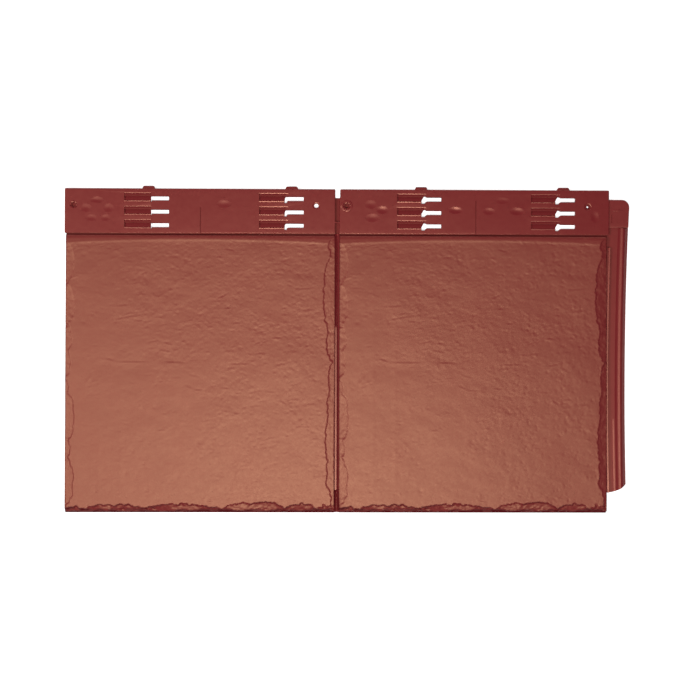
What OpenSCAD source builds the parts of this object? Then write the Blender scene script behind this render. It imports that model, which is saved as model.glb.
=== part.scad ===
// Plastic roof tile: two riven slates side by side under one fixing header, moulded in one piece.
// It lies face up on its bed. X runs across the roof, Y up the slope, Z out of the weather face.
// The origin is on the bed, under the middle of the tile.

/* [Slates] */
// Slates in one tile
slates = 2; // [1:1:3]
// Pitch of the slates across the roof
pitch = 305; // [300:1:330]
// Gap between neighbouring slates
keyway_w = 5; // [4.5:0.5:8]
// Length of a slate below the header
slate_l = 310; // [260:1:340]
// How far the first slate stands in from the header's end
slate_inset = 2; // [1:0.1:3]
// Height of a slate's face at its head
head_z = 9.5; // [8.5:0.1:11]
// Height of a slate's face at its butt edge
butt_z = 12.5; // [11.5:0.1:16]
// Height of the upright foot of the slate's edges
foot_z = 2.5; // [2:0.1:3]
// How far a slate's face stands back from its foot at a typical chip
chip_w = 10; // [8:0.5:11]

/* [Shell] */
// Thickness of the skin
wall = 2.6; // [2:0.1:3]
// Thickness of the stiffening ribs
rib_t = 2; // [1.5:0.1:3]
// Height of the ribs' lower edges above the bed
rib_z = 4; // [0:0.5:5]
// Ribs under each slate that run up the slope
ribs_up = 4; // [1:1:6]
// Ribs under each slate that run across the slope
ribs_across = 3; // [1:1:6]

/* [Header] */
// Length of the header above the slates
header_l = 52; // [50:0.5:60]
// Height of the header's face
header_z = 6; // [5.5:0.1:7]
// Bevel along the header's top edge
header_bevel = 1; // [0.5:0.1:1.5]
// Width of a spacer tab at its root
tab_root_w = 14.6; // [12:0.1:20]
// Width of a spacer tab at its tip
tab_tip_w = 10; // [8:0.1:11.5]
// How far a spacer tab stands out
tab_out = 3; // [1.5:0.1:5]
// Distance of the left spacer tab from its module's left edge
tab_left = 93.5; // [60:0.5:120]
// Distance of the right spacer tab from its module's right edge
tab_right = 51.5; // [30:0.5:90]

/* [Nailing] */
// Diameter of a nail hole
nail_d = 5; // [3:0.1:6]
// Diameter of the seat for a nail's head
nail_seat_d = 9; // [8:0.1:11]
// Depth of that seat
nail_seat = 0.8; // [0.4:0.1:1.5]
// Distance of the left nail hole from its module's left edge
nail_left = 10; // [8:0.5:14]
// Distance of the right nail hole from its module's right edge
nail_right = 24; // [21:0.5:25]
// Distance of the nail holes below the header's top edge
nail_drop = 18.5; // [15:0.5:24]

/* [Locking slots] */
// Distance of the left bank's inner ends from its module's left edge
slot_left = 96; // [60:0.5:120]
// Distance of the right bank's inner ends from its module's right edge
slot_right = 58.5; // [54:0.5:80]
// Length of a slot
slot_l = 21.5; // [16:0.5:23]
// Width of a slot
slot_w = 5; // [4.5:0.1:5.5]
// Pitch of the rows of slots
slot_pitch = 15; // [14:0.1:15.5]
// Distance of the first row of slots below the header's top edge
slot_drop = 11.7; // [10.5:0.1:12.5]
// Width of the entry notch at a slot's inner end
entry_w = 4.5; // [3:0.1:6]
// How far the entry notch reaches below the slot
entry_drop = 3.3; // [2:0.1:4]
// Bevel in the corner between the entry notch and the slot
entry_bevel = 1; // [0.5:0.1:1.5]
// Length of the blind pocket beside a slot
pocket_l = 29.5; // [24:0.5:32]
// Width of the blind pocket at its rim
pocket_w = 10; // [9:0.1:11]
// Width of the deep part of the blind pocket
pocket_deep_w = 6.8; // [5.5:0.1:8]
// Depth of the step round the pocket's deep part
pocket_step = 1.2; // [0.6:0.1:2]
// Height of the pocket's floor
pocket_floor_z = 2; // [1.5:0.1:3]
// How far the pocket's middle lies above the slot's
pocket_rise = 1.2; // [0:0.1:2]

/* [Keyway] */
// Height of the floor of the gap between slates
keyway_z = 4; // [3.5:0.1:5]
// Length of the lower step at the butt end of that floor
keyway_step_l = 25; // [15:0.5:40]
// Depth of the lower step
keyway_step = 1.6; // [0.5:0.1:2]
// Width of the open notch at the header's top edge
notch_w = 5.4; // [4.5:0.1:8]
// Length of the open notch
notch_l = 9.6; // [8:0.1:12]
// Distance of the cross bar below the header's top edge
bar_drop = 37; // [30:0.5:42]
// Thickness of the cross bar
bar_t = 1.6; // [1:0.1:3]

/* [Side gutter] */
// Width of the flange beyond the header
flange_w = 23; // [21:0.1:30]
// Distance of the flange's upper end below the header's top edge
flange_drop = 10.3; // [8:0.1:16]
// Radius of the flange's upper corner
flange_corner_r = 8.5; // [4:0.5:12]
// Height of the flange's flat upper plate
plate_z = 4; // [3.5:0.1:5]
// Length of that plate
plate_l = 31.7; // [25:0.1:36]
// Distance of the gutter's lower end above the butt edge
gutter_rise = 22.7; // [15:0.1:40]
// Radius of the gutter's lower corner
gutter_corner_r = 28; // [26:0.5:40]
// Height of the gutter's floor
gutter_z = 2; // [1.6:0.1:2.4]
// Width of the flat lip outside the outer ridge
ridge_lip = 0.8; // [0.4:0.1:2]
// Width of the rounded outer ridge
ridge_w = 10.5; // [8:0.1:12]
// Height of the outer ridge above the floor
ridge_h = 3.4; // [2:0.1:4]
// Distance of the inner rib from the outer edge
inner_rib_at = 20.5; // [18:0.1:20.8]
// Thickness of the inner rib
inner_rib_t = 1.2; // [1:0.1:2]
// Height of the inner rib above the floor
inner_rib_h = 2.4; // [1:0.1:3]
// Distance of the inner rib's upper end below the joint of header and slate
inner_rib_drop = 10; // [5:0.5:20]
// How far the outer edge curves in
gutter_bow = 4.7; // [3:0.1:6]
// Distance of the innermost point of that curve above the butt edge
gutter_bow_y = 137; // [120:1:160]

/* [Hidden] */
$fn = 64;
// Overlap of pieces that are fused, and run-out of cuts
EPS = 0.5;

// Rows in a bank of slots
SLOT_ROWS = 3;

// Dressed edges of a slate: share of the edge's length, and how far the face stands back there
// in typical chips. The head runs left to right, the right edge head to butt, the butt edge
// right to left, and the left edge butt to head.
HEAD_EDGE = [[0.02, 0.75], [0.12, 0.6], [0.3, 0.5], [0.5, 0.45], [0.7, 0.48], [0.88, 0.56], [0.97, 0.75]];
RIGHT_EDGE = [
    [0.035, 0.35], [0.09, 0.75], [0.16, 1.2], [0.285, 1.15], [0.31, 0.85], [0.35, 1], [0.39, 0.85],
    [0.54, 1], [0.615, 0.8], [0.67, 1], [0.775, 1.05], [0.8, 0.85], [0.835, 1], [0.88, 0.8],
    [0.93, 0.4]
];
BUTT_EDGE = [
    [0.975, 0.95], [0.955, 0.65], [0.945, 0.45], [0.89, 1.1], [0.86, 1.2], [0.82, 0.8], [0.71, 1.9],
    [0.675, 1.4], [0.62, 1.15], [0.595, 0.85], [0.55, 0.65], [0.52, 1.1], [0.41, 1.15],
    [0.375, 1.1], [0.305, 0.75], [0.29, 0.6], [0.23, 0.9], [0.16, 1], [0.11, 1.1], [0.085, 0.9],
    [0.02, 0.65]
];
LEFT_EDGE = [
    [0.95, 0.3], [0.9, 0.6], [0.8, 0.5], [0.74, 0.2], [0.68, 0.55], [0.6, 0.45], [0.56, 0.15], [0.53, 0.4],
    [0.5, 0.15], [0.35, 0.15], [0.2, 0.2], [0.15, 0.5], [0.07, 0.4], [0.035, 0.2]
];

slate_w = pitch - keyway_w;
header_w = slates * pitch;
body_l = slate_l + header_l;
tile_w = header_w + flange_w;
tile_l = body_l + tab_out;
flange_top = body_l - flange_drop;
plate_bottom = flange_top - plate_l;
last_slate_right = header_w - keyway_w + slate_inset;

// How far the head's slope runs on under the header from where it shows at the joint
head_set_back = HEAD_EDGE[3][1] * chip_w;
head_lap = head_set_back * (header_z - foot_z) / (head_z - header_z);

// Height of a slate's face at a distance above its butt edge
function face_z(y) = butt_z + (head_z - butt_z) * y / slate_l;

// Outline of a slate's face and of the foot below it, both set in by a margin
function face_outline(m) = concat(
    [for (p = HEAD_EDGE) [m + p[0] * (slate_w - 2 * m), slate_l - p[1] * chip_w - m]],
    [for (p = RIGHT_EDGE) [slate_w - p[1] * chip_w - m, slate_l * (1 - p[0])]],
    [for (p = BUTT_EDGE) [m + p[0] * (slate_w - 2 * m), p[1] * chip_w + m]],
    [for (p = LEFT_EDGE) [p[1] * chip_w + m, slate_l * (1 - p[0])]]
);
function foot_outline(m) = concat(
    [for (p = HEAD_EDGE) [m + p[0] * (slate_w - 2 * m), slate_l + head_lap - m]],
    [for (p = RIGHT_EDGE) [slate_w - m, slate_l * (1 - p[0])]],
    [for (p = BUTT_EDGE) [m + p[0] * (slate_w - 2 * m), m]],
    [for (p = LEFT_EDGE) [m, slate_l * (1 - p[0])]]
);

// A slate's block, or the hollow a skin's thickness inside it: an upright foot, dressed bevels
// and a sloping face. The face and the base are fans of triangles round their middle points.
module slate_block(skin, base_z) {
    face = [for (p = face_outline(skin)) [p[0], p[1], face_z(p[1]) - skin]];
    foot = [for (p = foot_outline(skin)) [p[0], p[1], foot_z - skin / 2]];
    base = [for (p = foot_outline(skin)) [p[0], p[1], base_z]];
    middle = [slate_w / 2, slate_l / 2];
    n = len(face);
    sides = [
        for (ring = [0, 1], i = [0:n - 1])
            let (j = (i + 1) % n, upper = ring * n, lower = upper + n)
                each [[upper + i, lower + i, lower + j], [upper + i, lower + j, upper + j]]
    ];
    polyhedron(
        points = concat(face, foot, base, [
            [middle[0], middle[1], face_z(middle[1]) - skin],
            [middle[0], middle[1], base_z]
        ]),
        faces = concat(
            [for (i = [0:n - 1]) [3 * n, i, (i + 1) % n]],
            sides,
            [for (i = [0:n - 1]) [3 * n + 1, 2 * n + (i + 1) % n, 2 * n + i]]
        )
    );
}

module at_each_module() {
    for (i = [0:slates - 1]) translate([i * pitch, 0, 0]) children();
}

// The lines between modules, where the keyways run
module at_each_keyway() {
    if (slates > 1) for (i = [1:slates - 1]) translate([i * pitch, 0, 0]) children();
}

// Under the slates: a hollow that leaves the skin, crossed by ribs that hang from it
module slate_hollow() {
    hollow_w = slate_w - 2 * wall;
    hollow_l = slate_l + head_lap - 2 * wall;
    difference() {
        slate_block(wall, -EPS);
        for (i = [1:ribs_up])
            translate([wall + i * hollow_w / (ribs_up + 1) - rib_t / 2, 0, rib_z])
                cube([rib_t, body_l, butt_z]);
        for (i = [1:ribs_across])
            translate([0, wall + i * hollow_l / (ribs_across + 1) - rib_t / 2, rib_z])
                cube([slate_w, rib_t, butt_z]);
    }
}

// The header's bar, with its bevelled top edge
module header_bar() {
    rotate([90, 0, 90]) linear_extrude(header_w) polygon([
        [slate_l, 0], [body_l, 0], [body_l, header_z - header_bevel],
        [body_l - header_bevel, header_z], [slate_l, header_z]
    ]);
}

module spacer_tab() {
    linear_extrude(header_z - header_bevel) polygon([
        [-tab_root_w / 2, body_l - EPS], [tab_root_w / 2, body_l - EPS],
        [tab_root_w / 2, body_l], [tab_tip_w / 2, tile_l],
        [-tab_tip_w / 2, tile_l], [-tab_root_w / 2, body_l]
    ]);
}

module at_nail_holes() {
    for (x = [nail_left, pitch - nail_right])
        translate([x, body_l - nail_drop, 0]) children();
}

// The row's origin is where a slot meets its pocket, on the slot's middle line
module at_slot_rows() {
    for (x = [slot_left, pitch - slot_right], row = [0:SLOT_ROWS - 1])
        translate([x, body_l - slot_drop - row * slot_pitch, 0]) children();
}

// A slot right through the header, its hooked entry notch and the stepped pocket beside it
module slot_cut() {
    cut_h = header_z + 2 * EPS;
    translate([0, -slot_w / 2, -EPS]) cube([slot_l, slot_w, cut_h]);
    translate([0, 0, -EPS]) linear_extrude(cut_h) polygon([
        [0, 0], [0, -slot_w / 2 - entry_drop], [entry_w, -slot_w / 2 - entry_drop],
        [entry_w, -slot_w / 2 - entry_bevel], [entry_w + entry_bevel, -slot_w / 2],
        [entry_w + entry_bevel, 0]
    ]);
    translate([-pocket_l, pocket_rise - pocket_w / 2, header_z - pocket_step])
        cube([pocket_l, pocket_w, cut_h]);
    translate([-pocket_l, pocket_rise - pocket_deep_w / 2, pocket_floor_z])
        cube([pocket_l + EPS, pocket_deep_w, cut_h]);
}

// Solid ground under a row's slot and pocket
module slot_block() {
    translate([-pocket_l - wall, -slot_pitch / 2, -2 * EPS])
        cube([pocket_l + slot_l + 2 * wall, slot_pitch, header_z]);
}

// Under the header: a hollow round the solid ground of the holes, slots and keyways
module header_hollow() {
    hollow_bottom = slate_l + head_lap;
    difference() {
        translate([wall, hollow_bottom, -EPS])
            cube([header_w - 2 * wall, body_l - wall - hollow_bottom, header_z - wall + EPS]);
        at_each_module() {
            at_slot_rows() slot_block();
            at_nail_holes()
                translate([0, 0, -2 * EPS]) cylinder(d = nail_seat_d + 2 * wall, h = header_z);
        }
        at_each_keyway()
            translate([-keyway_w - wall, slate_l, -2 * EPS])
                cube([2 * (keyway_w + wall), header_l, header_z]);
    }
}

// The keyway's parts are placed from the line between two modules
keyway_left = slate_inset - keyway_w;

module keyway_floor() {
    translate([keyway_left - EPS, 0, 0])
        cube([keyway_w + 2 * EPS, keyway_step_l, keyway_z - keyway_step]);
    translate([keyway_left - EPS, keyway_step_l, 0])
        cube([keyway_w + 2 * EPS, slate_l + EPS - keyway_step_l, keyway_z]);
}

// The keyway's run through the header, down to the pockets' floor, with its cross bar
module keyway_cut() {
    bar_y = body_l - bar_drop;
    translate([keyway_left, slate_l - EPS, pocket_floor_z])
        cube([keyway_w, bar_y - bar_t / 2 - slate_l + EPS, header_z]);
    translate([keyway_left, bar_y + bar_t / 2, pocket_floor_z])
        cube([keyway_w, bar_drop - bar_t / 2 - notch_l + EPS, header_z]);
    translate([-notch_w / 2, body_l - notch_l, -EPS])
        cube([notch_w, notch_l + EPS, header_z + 2 * EPS]);
}

// The outer edge, the ridge and the inner rib follow one curve, which is innermost at
// gutter_bow_y and reaches the tile's full width where the flange's upper corner begins
bow_run = flange_top - flange_corner_r - gutter_bow_y;
bow_r = (pow(bow_run, 2) + pow(gutter_bow, 2)) / (2 * gutter_bow);
bow_turn = 2 * asin((flange_top - gutter_bow_y) / bow_r);
bow_steps = 16;
function edge_x(y) = tile_w - gutter_bow + bow_r - sqrt(pow(bow_r, 2) - pow(y - gutter_bow_y, 2));

module flange_outline() {
    inner_x = last_slate_right - wall - gutter_bow;
    difference() {
        polygon(concat(
            [[inner_x, flange_top]],
            [for (i = [0:bow_steps])
                let (y = flange_top + (gutter_rise - flange_top) * i / bow_steps) [edge_x(y), y]],
            [[inner_x, gutter_rise]]
        ));
        translate([tile_w - flange_corner_r, flange_top - flange_corner_r])
            difference() {
                square(2 * flange_corner_r);
                circle(flange_corner_r);
            }
        translate([edge_x(gutter_rise) - flange_w + EPS, gutter_rise + gutter_corner_r])
            mirror([0, 1]) difference() {
                square(2 * gutter_corner_r);
                circle(gutter_corner_r);
            }
    }
}

// A bar of the given section, bent along the outer edge's curve
module bent_along_edge() {
    translate([tile_w - gutter_bow + bow_r, gutter_bow_y, 0])
        rotate([0, 0, 180 - bow_turn / 2])
            rotate_extrude(angle = bow_turn, $fn = bow_steps * 360 / bow_turn)
                translate([bow_r, 0]) children();
}

// Half a wave, rising out of the gutter's floor
ridge_steps = 10;
module ridge_section() {
    polygon(concat(
        [[ridge_lip + ridge_w, 0], [ridge_lip, 0]],
        [for (i = [0:ridge_steps])
            let (t = i / ridge_steps)
                [ridge_lip + t * ridge_w, gutter_z - EPS + (ridge_h + EPS) * sin(180 * t)]]
    ));
}

module flange() {
    linear_extrude(gutter_z) flange_outline();
    intersection() {
        linear_extrude(plate_z) flange_outline();
        translate([0, plate_bottom, 0]) cube([2 * tile_w, plate_l + EPS, plate_z]);
    }
    intersection() {
        translate([0, 0, EPS]) linear_extrude(butt_z) flange_outline();
        union() {
            intersection() {
                bent_along_edge() ridge_section();
                translate([0, -EPS, 0]) cube([2 * tile_w, plate_bottom + 2 * EPS, butt_z]);
            }
            intersection() {
                bent_along_edge() translate([inner_rib_at - inner_rib_t / 2, 0])
                    square([inner_rib_t, gutter_z + inner_rib_h]);
                translate([0, -EPS, 0]) cube([2 * tile_w, slate_l - inner_rib_drop + EPS, butt_z]);
            }
        }
    }
}

module roof_tile() {
    color([0.55, 0.3, 0.24]) translate([-tile_w / 2, -tile_l / 2, 0]) difference() {
        union() {
            at_each_module() {
                translate([slate_inset, 0, 0]) slate_block(0, 0);
                for (x = [tab_left, pitch - tab_right]) translate([x, 0, 0]) spacer_tab();
            }
            header_bar();
            at_each_keyway() keyway_floor();
            flange();
        }
        at_each_module() {
            translate([slate_inset, 0, 0]) slate_hollow();
            at_slot_rows() slot_cut();
            at_nail_holes() {
                translate([0, 0, -EPS]) cylinder(d = nail_d, h = header_z + 2 * EPS);
                translate([0, 0, header_z - nail_seat]) cylinder(d = nail_seat_d, h = header_z);
            }
        }
        header_hollow();
        at_each_keyway() keyway_cut();
    }
}

roof_tile();
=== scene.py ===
# %% [markdown]
# # A moulded roof tile with two riven slates
# The real tile is one plastic moulding. Two slates with a split-stone face and chipped edges
# lie side by side. Above them runs a smooth header with nail holes, spacer tabs and banks of
# locking slots. Between them is a narrow keyway, and along the right side a gutter with
# rounded ridges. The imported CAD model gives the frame: its box says how large everything is
# and where it lies. Here every region of the moulding gets its own detailed mesh, and all of
# them stand for the one CAD node.

# %% Load the frame
import math

import bmesh
import bpy
import numpy as np
from mathutils import Matrix, Vector


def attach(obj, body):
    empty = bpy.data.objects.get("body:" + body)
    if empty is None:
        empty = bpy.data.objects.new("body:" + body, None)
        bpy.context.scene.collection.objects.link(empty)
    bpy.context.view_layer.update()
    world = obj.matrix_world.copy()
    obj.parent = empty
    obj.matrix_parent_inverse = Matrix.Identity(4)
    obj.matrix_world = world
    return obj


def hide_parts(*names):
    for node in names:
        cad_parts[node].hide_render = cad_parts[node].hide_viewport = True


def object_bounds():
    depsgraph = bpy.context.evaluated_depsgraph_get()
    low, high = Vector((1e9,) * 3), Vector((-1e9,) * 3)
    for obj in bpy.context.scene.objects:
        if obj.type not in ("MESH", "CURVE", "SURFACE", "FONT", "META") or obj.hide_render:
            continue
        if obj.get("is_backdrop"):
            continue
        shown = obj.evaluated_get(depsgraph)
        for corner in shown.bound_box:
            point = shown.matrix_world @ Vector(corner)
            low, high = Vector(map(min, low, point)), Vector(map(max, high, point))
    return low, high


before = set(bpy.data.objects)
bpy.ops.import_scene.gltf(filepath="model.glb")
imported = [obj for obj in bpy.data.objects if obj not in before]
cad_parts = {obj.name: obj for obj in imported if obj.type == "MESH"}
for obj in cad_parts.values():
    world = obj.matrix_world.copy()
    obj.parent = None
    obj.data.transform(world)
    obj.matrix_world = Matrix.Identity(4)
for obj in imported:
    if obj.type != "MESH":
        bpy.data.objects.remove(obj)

MM = 0.001
NODE = "roof_tile"
cad_low, cad_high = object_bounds()
tile_w, tile_l, tile_h = ((high - low) / MM for low, high in zip(cad_low, cad_high))
print(f"CAD box: {tile_w:.1f} x {tile_l:.1f} x {tile_h:.2f} mm")

# %% [markdown]
# ## Sizes
# A designer works from the edges of the part, so lengths here are in millimetres from the
# header's left end (x), the butt edge (y) and the bed (z). A few driving sizes give the rest.
# `to_frame` turns such places into metres in the CAD frame, whose origin is under the middle.

# %% Driving sizes, in millimetres
PITCH = 305.0           # one slate and one keyway
KEYWAY_W = 5.0
SLATE_L = 310.0
INSET = 2.0             # first slate's left edge, from the header's end
HEAD_Z, BUTT_Z = 9.5, 12.3      # height of a slate's face at its two ends
FOOT_Z = 2.5            # upright foot of a slate's edges
WALL = 2.6
HEADER_Z = 6.0
TAB_OUT = 3.0
FLANGE_Z, PLATE_Z = 2.0, 4.0

slate_w = PITCH - KEYWAY_W
header_w = 2 * PITCH
body_l = tile_l - TAB_OUT
flange_w = tile_w - header_w


def to_frame(points):
    """Places in tile millimetres as metres in the CAD frame."""
    return np.asarray(points, float).reshape(-1, 3) * MM + np.array(cad_low)


print(f"slate {slate_w:.0f} x {SLATE_L:.0f}, header {header_w:.0f} x {body_l - SLATE_L:.0f},",
      f"flange {flange_w:.1f} mm")

# %% [markdown]
# ## Camera
# The view is from straight above, through a moderate telephoto lens, so that the tile's sides
# hardly show. The camera stands a little to the left of the middle and leans by about a degree.

# %% Camera
LENS, SENSOR_W = 85, 36         # in millimetres
CAMERA_PLACE = (-0.0336, -0.0213, 1.8550)       # in metres
CAMERA_TURN = (0.01116, -0.01964, 0.00279)      # in radians

camera_data = bpy.data.cameras.new("overhead_camera")
camera_data.lens = LENS
camera_data.sensor_width = SENSOR_W
camera = bpy.data.objects.new("overhead_camera", camera_data)
camera.location = CAMERA_PLACE
camera.rotation_euler = CAMERA_TURN
bpy.context.scene.collection.objects.link(camera)
bpy.context.scene.camera = camera
print("camera", [round(value, 3) for value in camera.location], "lens", camera_data.lens, "mm")

# %% [markdown]
# ## Floor and light
# The tile lies on a pale light table: the floor glows a little, so that it stays white inside
# the narrow slots too. A softbox nearly overhead gives the broad sheen on the slates. A second
# one at the left lights the walls of the relief from the side, and a low strip beyond the
# header catches the rims that face it. The world's dim light fills the rest. A smooth header
# mirrors what lies further off and so looks darker than the rough slates, which gather light
# from all round.

# %% Floor
FLOOR_SIDE = 6.0        # in metres
FLOOR_GAP = 0.02 * MM   # the floor lies this far under the tile
FLOOR_SHADE, FLOOR_ROUGHNESS, FLOOR_GLOW = 0.8, 0.9, 0.65

bpy.context.scene.view_settings.view_transform = "Standard"
bpy.context.scene.view_settings.look = "None"

floor_mesh = bpy.data.meshes.new("floor")
half = FLOOR_SIDE / 2
floor_corners = [(-half, -half, 0), (half, -half, 0), (half, half, 0), (-half, half, 0)]
floor_mesh.from_pydata(floor_corners, [], [(0, 1, 2, 3)])
floor = bpy.data.objects.new("floor", floor_mesh)
floor.location.z = cad_low[2] - FLOOR_GAP
bpy.context.scene.collection.objects.link(floor)
floor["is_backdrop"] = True
floor_paint = bpy.data.materials.new("pale_floor")
floor_paint.use_nodes = True
floor_shader = floor_paint.node_tree.nodes["Principled BSDF"]
floor_shader.inputs["Base Color"].default_value = (FLOOR_SHADE, FLOOR_SHADE, FLOOR_SHADE, 1)
floor_shader.inputs["Roughness"].default_value = FLOOR_ROUGHNESS
floor_shader.inputs["Emission Color"].default_value = (1, 1, 1, 1)
floor_shader.inputs["Emission Strength"].default_value = FLOOR_GLOW
floor_mesh.materials.append(floor_paint)
print("floor:", FLOOR_SIDE, "m square")

# %% Softboxes and fill
FILL_LIGHT = 0.02
SOFTBOXES = [           # name, place, size and power, in metres and watts
    ("overhead_softbox", (-0.04, -0.42, 1.9), (0.70, 0.42), 27),
    ("left_softbox", (-1.3, -0.12, 1.9), (0.8, 0.5), 21),
    ("low_strip", (0, 2.2, 0.9), (2.4, 0.4), 9),
]

world = bpy.data.worlds.new("studio")
world.use_nodes = True
background = world.node_tree.nodes["Background"]
background.inputs["Color"].default_value = (1, 1, 1, 1)
background.inputs["Strength"].default_value = FILL_LIGHT
bpy.context.scene.world = world


def softbox(name, place, size, power):
    """A rectangular area light that points at the middle of the tile."""
    data = bpy.data.lights.new(name, "AREA")
    data.shape = "RECTANGLE"
    data.size, data.size_y = size
    data.energy = power
    lamp = bpy.data.objects.new(name, data)
    lamp.location = place
    lamp.rotation_euler = (-Vector(place)).to_track_quat("-Z", "Y").to_euler()
    bpy.context.scene.collection.objects.link(lamp)


for box in SOFTBOXES:
    softbox(*box)

# %% [markdown]
# ## Node trees
# Materials and Geometry Nodes are both trees of nodes. `Nodes.node` adds any node from its
# type, its settings and the values or links of its sockets. `Value` wraps a socket that holds
# a number, so that `1 - mask * 2` in Python adds the Math nodes by itself.

# %% Node helpers
class Value:
    """A number socket that takes part in Python sums by adding Math nodes."""

    def __init__(self, nodes, socket):
        self.nodes, self.socket = nodes, socket

    def math(self, operation, first, second):
        node = self.nodes.node(self.nodes.MATH, {"operation": operation}, {0: first, 1: second})
        return Value(self.nodes, node.outputs[0])

    def __add__(self, other):
        return self.math("ADD", self, other)

    def __radd__(self, other):
        return self.math("ADD", other, self)

    def __sub__(self, other):
        return self.math("SUBTRACT", self, other)

    def __rsub__(self, other):
        return self.math("SUBTRACT", other, self)

    def __mul__(self, other):
        return self.math("MULTIPLY", self, other)

    def __rmul__(self, other):
        return self.math("MULTIPLY", other, self)

    def __truediv__(self, other):
        return self.math("DIVIDE", self, other)

    def __rtruediv__(self, other):
        return self.math("DIVIDE", other, self)


class Nodes:
    """A node tree. node() makes any node, and value() wraps one of its number sockets."""

    MATH = "ShaderNodeMath"

    def __init__(self, tree):
        self.tree = tree

    def node(self, kind, settings=None, inputs=None):
        node = self.tree.nodes.new(kind)
        for key, setting in (settings or {}).items():
            setattr(node, key, setting)
        for key, given in (inputs or {}).items():
            given = given.socket if isinstance(given, Value) else given
            if isinstance(given, bpy.types.NodeSocket):
                self.tree.links.new(given, node.inputs[key])
            else:
                node.inputs[key].default_value = given
        return node

    def value(self, node, output=0):
        return Value(self, node.outputs[output])

# %% [markdown]
# ## The plastic
# The tile is moulded in one brownish red plastic, and only its skin differs from place to place,
# besides some painted shade. Where the tool was eroded to look like stone, the skin is matt and
# gathers light from all round; on the steep chipped edges it is duller, and there its colour is
# darkened as painted shade. The header came from polished steel, so it is glossy and keeps faint
# waves, while the floors of its recesses are dull, with their colour darkened a little as painted
# shade. The keyway and the gutter's rib are satin, and the gutter lies in between. All skins share
# one recipe: a slightly cloudy colour, a fine grain and faint waves. Where two of them meet, a mask
# that goes from 0 to 1 blends them: the height over the bed on the header, and the steepness of the
# face on the slates. Highlights on this plastic are tinted: warm on the matt skin, and rosy on the
# polished one.

# %% Skins of the plastic
PLASTIC = (0.160, 0.0140, 0.0175)
PLASTIC_PALE = (0.180, 0.0160, 0.0195)
WARM_GLOSS = (1.0, 0.59, 0.34, 1.0)
ROSE_GLOSS = (1.0, 0.48, 0.32, 1.0)
CLOUD_PART, SPECK_PART, TONE_SHIFT = 0.7, 0.5, 0.1      # how clouds and specks mix the colours
SPECK_GLOSS = 0.2       # how far the specks change the roughness
REFRACTION = 1.5        # index of refraction of a common plastic
WAVE_SIZE = 13 * MM     # size of the faint waves that a cooling moulding keeps
# Floors below this height also take the recess skin, whose colour is darkened a little as painted
# shade.
RECESS_Z = 5.55 * MM    # floors below this were left dull by the spark-eroded inserts
RECESS_BLEND = 0.12 * MM

# Each skin: grain and wave are the heights of their bumps. A depth below 1 darkens the colour as
# painted shade, for walls and recess floors that see little light.
SMOOTH = dict(grain_size=1.2 * MM, cloud_size=30 * MM)
STONE = dict(grain_size=0.8 * MM, cloud_size=45 * MM, grain=0.05 * MM, wave=0.01 * MM)
SKINS = {
    # The recess skin's depth below 1 is painted shade on the floors of the header's recesses.
    "dull_and_shaded_recess": dict(SMOOTH, roughness=0.5, sheen=0.25, grain=0.02 * MM, wave=0.02 * MM, depth=0.9),
    "polished": dict(SMOOTH, roughness=0.29, sheen=0.9, grain=0.012 * MM, wave=0.09 * MM,
                     gloss=ROSE_GLOSS),
    "satin": dict(SMOOTH, roughness=0.38, sheen=0.9, grain=0.02 * MM, wave=0.03 * MM,
                  gloss=ROSE_GLOSS),
    "dull": dict(SMOOTH, roughness=0.40, sheen=0.65, grain=0.02 * MM, wave=0.05 * MM,
                 gloss=ROSE_GLOSS),
    "riven": dict(STONE, roughness=0.45, sheen=0.9),
    # The broken skin's depth below 1 is painted shade on the slates' steep walls.
    "broken_and_shaded": dict(STONE, roughness=0.80, sheen=0.0, depth=0.5),
}
print("skins:", *SKINS)

# %% Plastic finishes
def moulded(nodes, roughness, sheen, grain, grain_size, wave, cloud_size, depth=1.0,
            gloss=WARM_GLOSS):
    """A shader of the tile's plastic with one of the skins."""
    place = nodes.node("ShaderNodeTexCoord").outputs["Object"]

    def noise(size, detail=2.0):
        return nodes.value(nodes.node("ShaderNodeTexNoise", {"noise_dimensions": "3D"}, {
            "Vector": place, "Scale": 1 / size, "Detail": detail}))

    specks = noise(4 * grain_size, 4.0)
    tone = noise(cloud_size) * CLOUD_PART + specks * SPECK_PART - TONE_SHIFT
    # A depth below 1 darkens both colours: painted shade for walls and floors that see little
    # light.
    colour = nodes.node("ShaderNodeMix", {"data_type": "RGBA"}, {
        "Factor": tone, "A": (*(part * depth for part in PLASTIC), 1),
        "B": (*(part * depth for part in PLASTIC_PALE), 1)})
    waves = nodes.node("ShaderNodeBump", None, {
        "Strength": 1.0, "Distance": wave, "Height": noise(WAVE_SIZE, 1.0)})
    relief = nodes.node("ShaderNodeBump", None, {
        "Strength": 1.0, "Distance": grain, "Height": noise(grain_size, 3.0),
        "Normal": waves.outputs["Normal"]})
    return nodes.node("ShaderNodeBsdfPrincipled", None, {
        "Base Color": colour.outputs["Result"],
        "Roughness": roughness + roughness * SPECK_GLOSS * (specks - 0.5),
        "Normal": relief.outputs["Normal"],
        "IOR": REFRACTION, "Specular IOR Level": sheen, "Specular Tint": gloss}).outputs["BSDF"]


def above_recess(nodes):
    """0 on the floors of the header's recesses, 1 on its face, with a soft step between."""
    place = nodes.node("ShaderNodeTexCoord").outputs["Object"]
    height = nodes.node("ShaderNodeSeparateXYZ", None, {"Vector": place}).outputs["Z"]
    return nodes.node("ShaderNodeMapRange", {"clamp": True}, {
        "Value": height, "From Min": RECESS_Z - RECESS_BLEND,
        "From Max": RECESS_Z + RECESS_BLEND}).outputs["Result"]


def steep(nodes):
    """The slates' own attribute: 0 on the face, 1 on a wall."""
    return nodes.node("ShaderNodeAttribute", {"attribute_name": "steep"}).outputs["Fac"]


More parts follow.
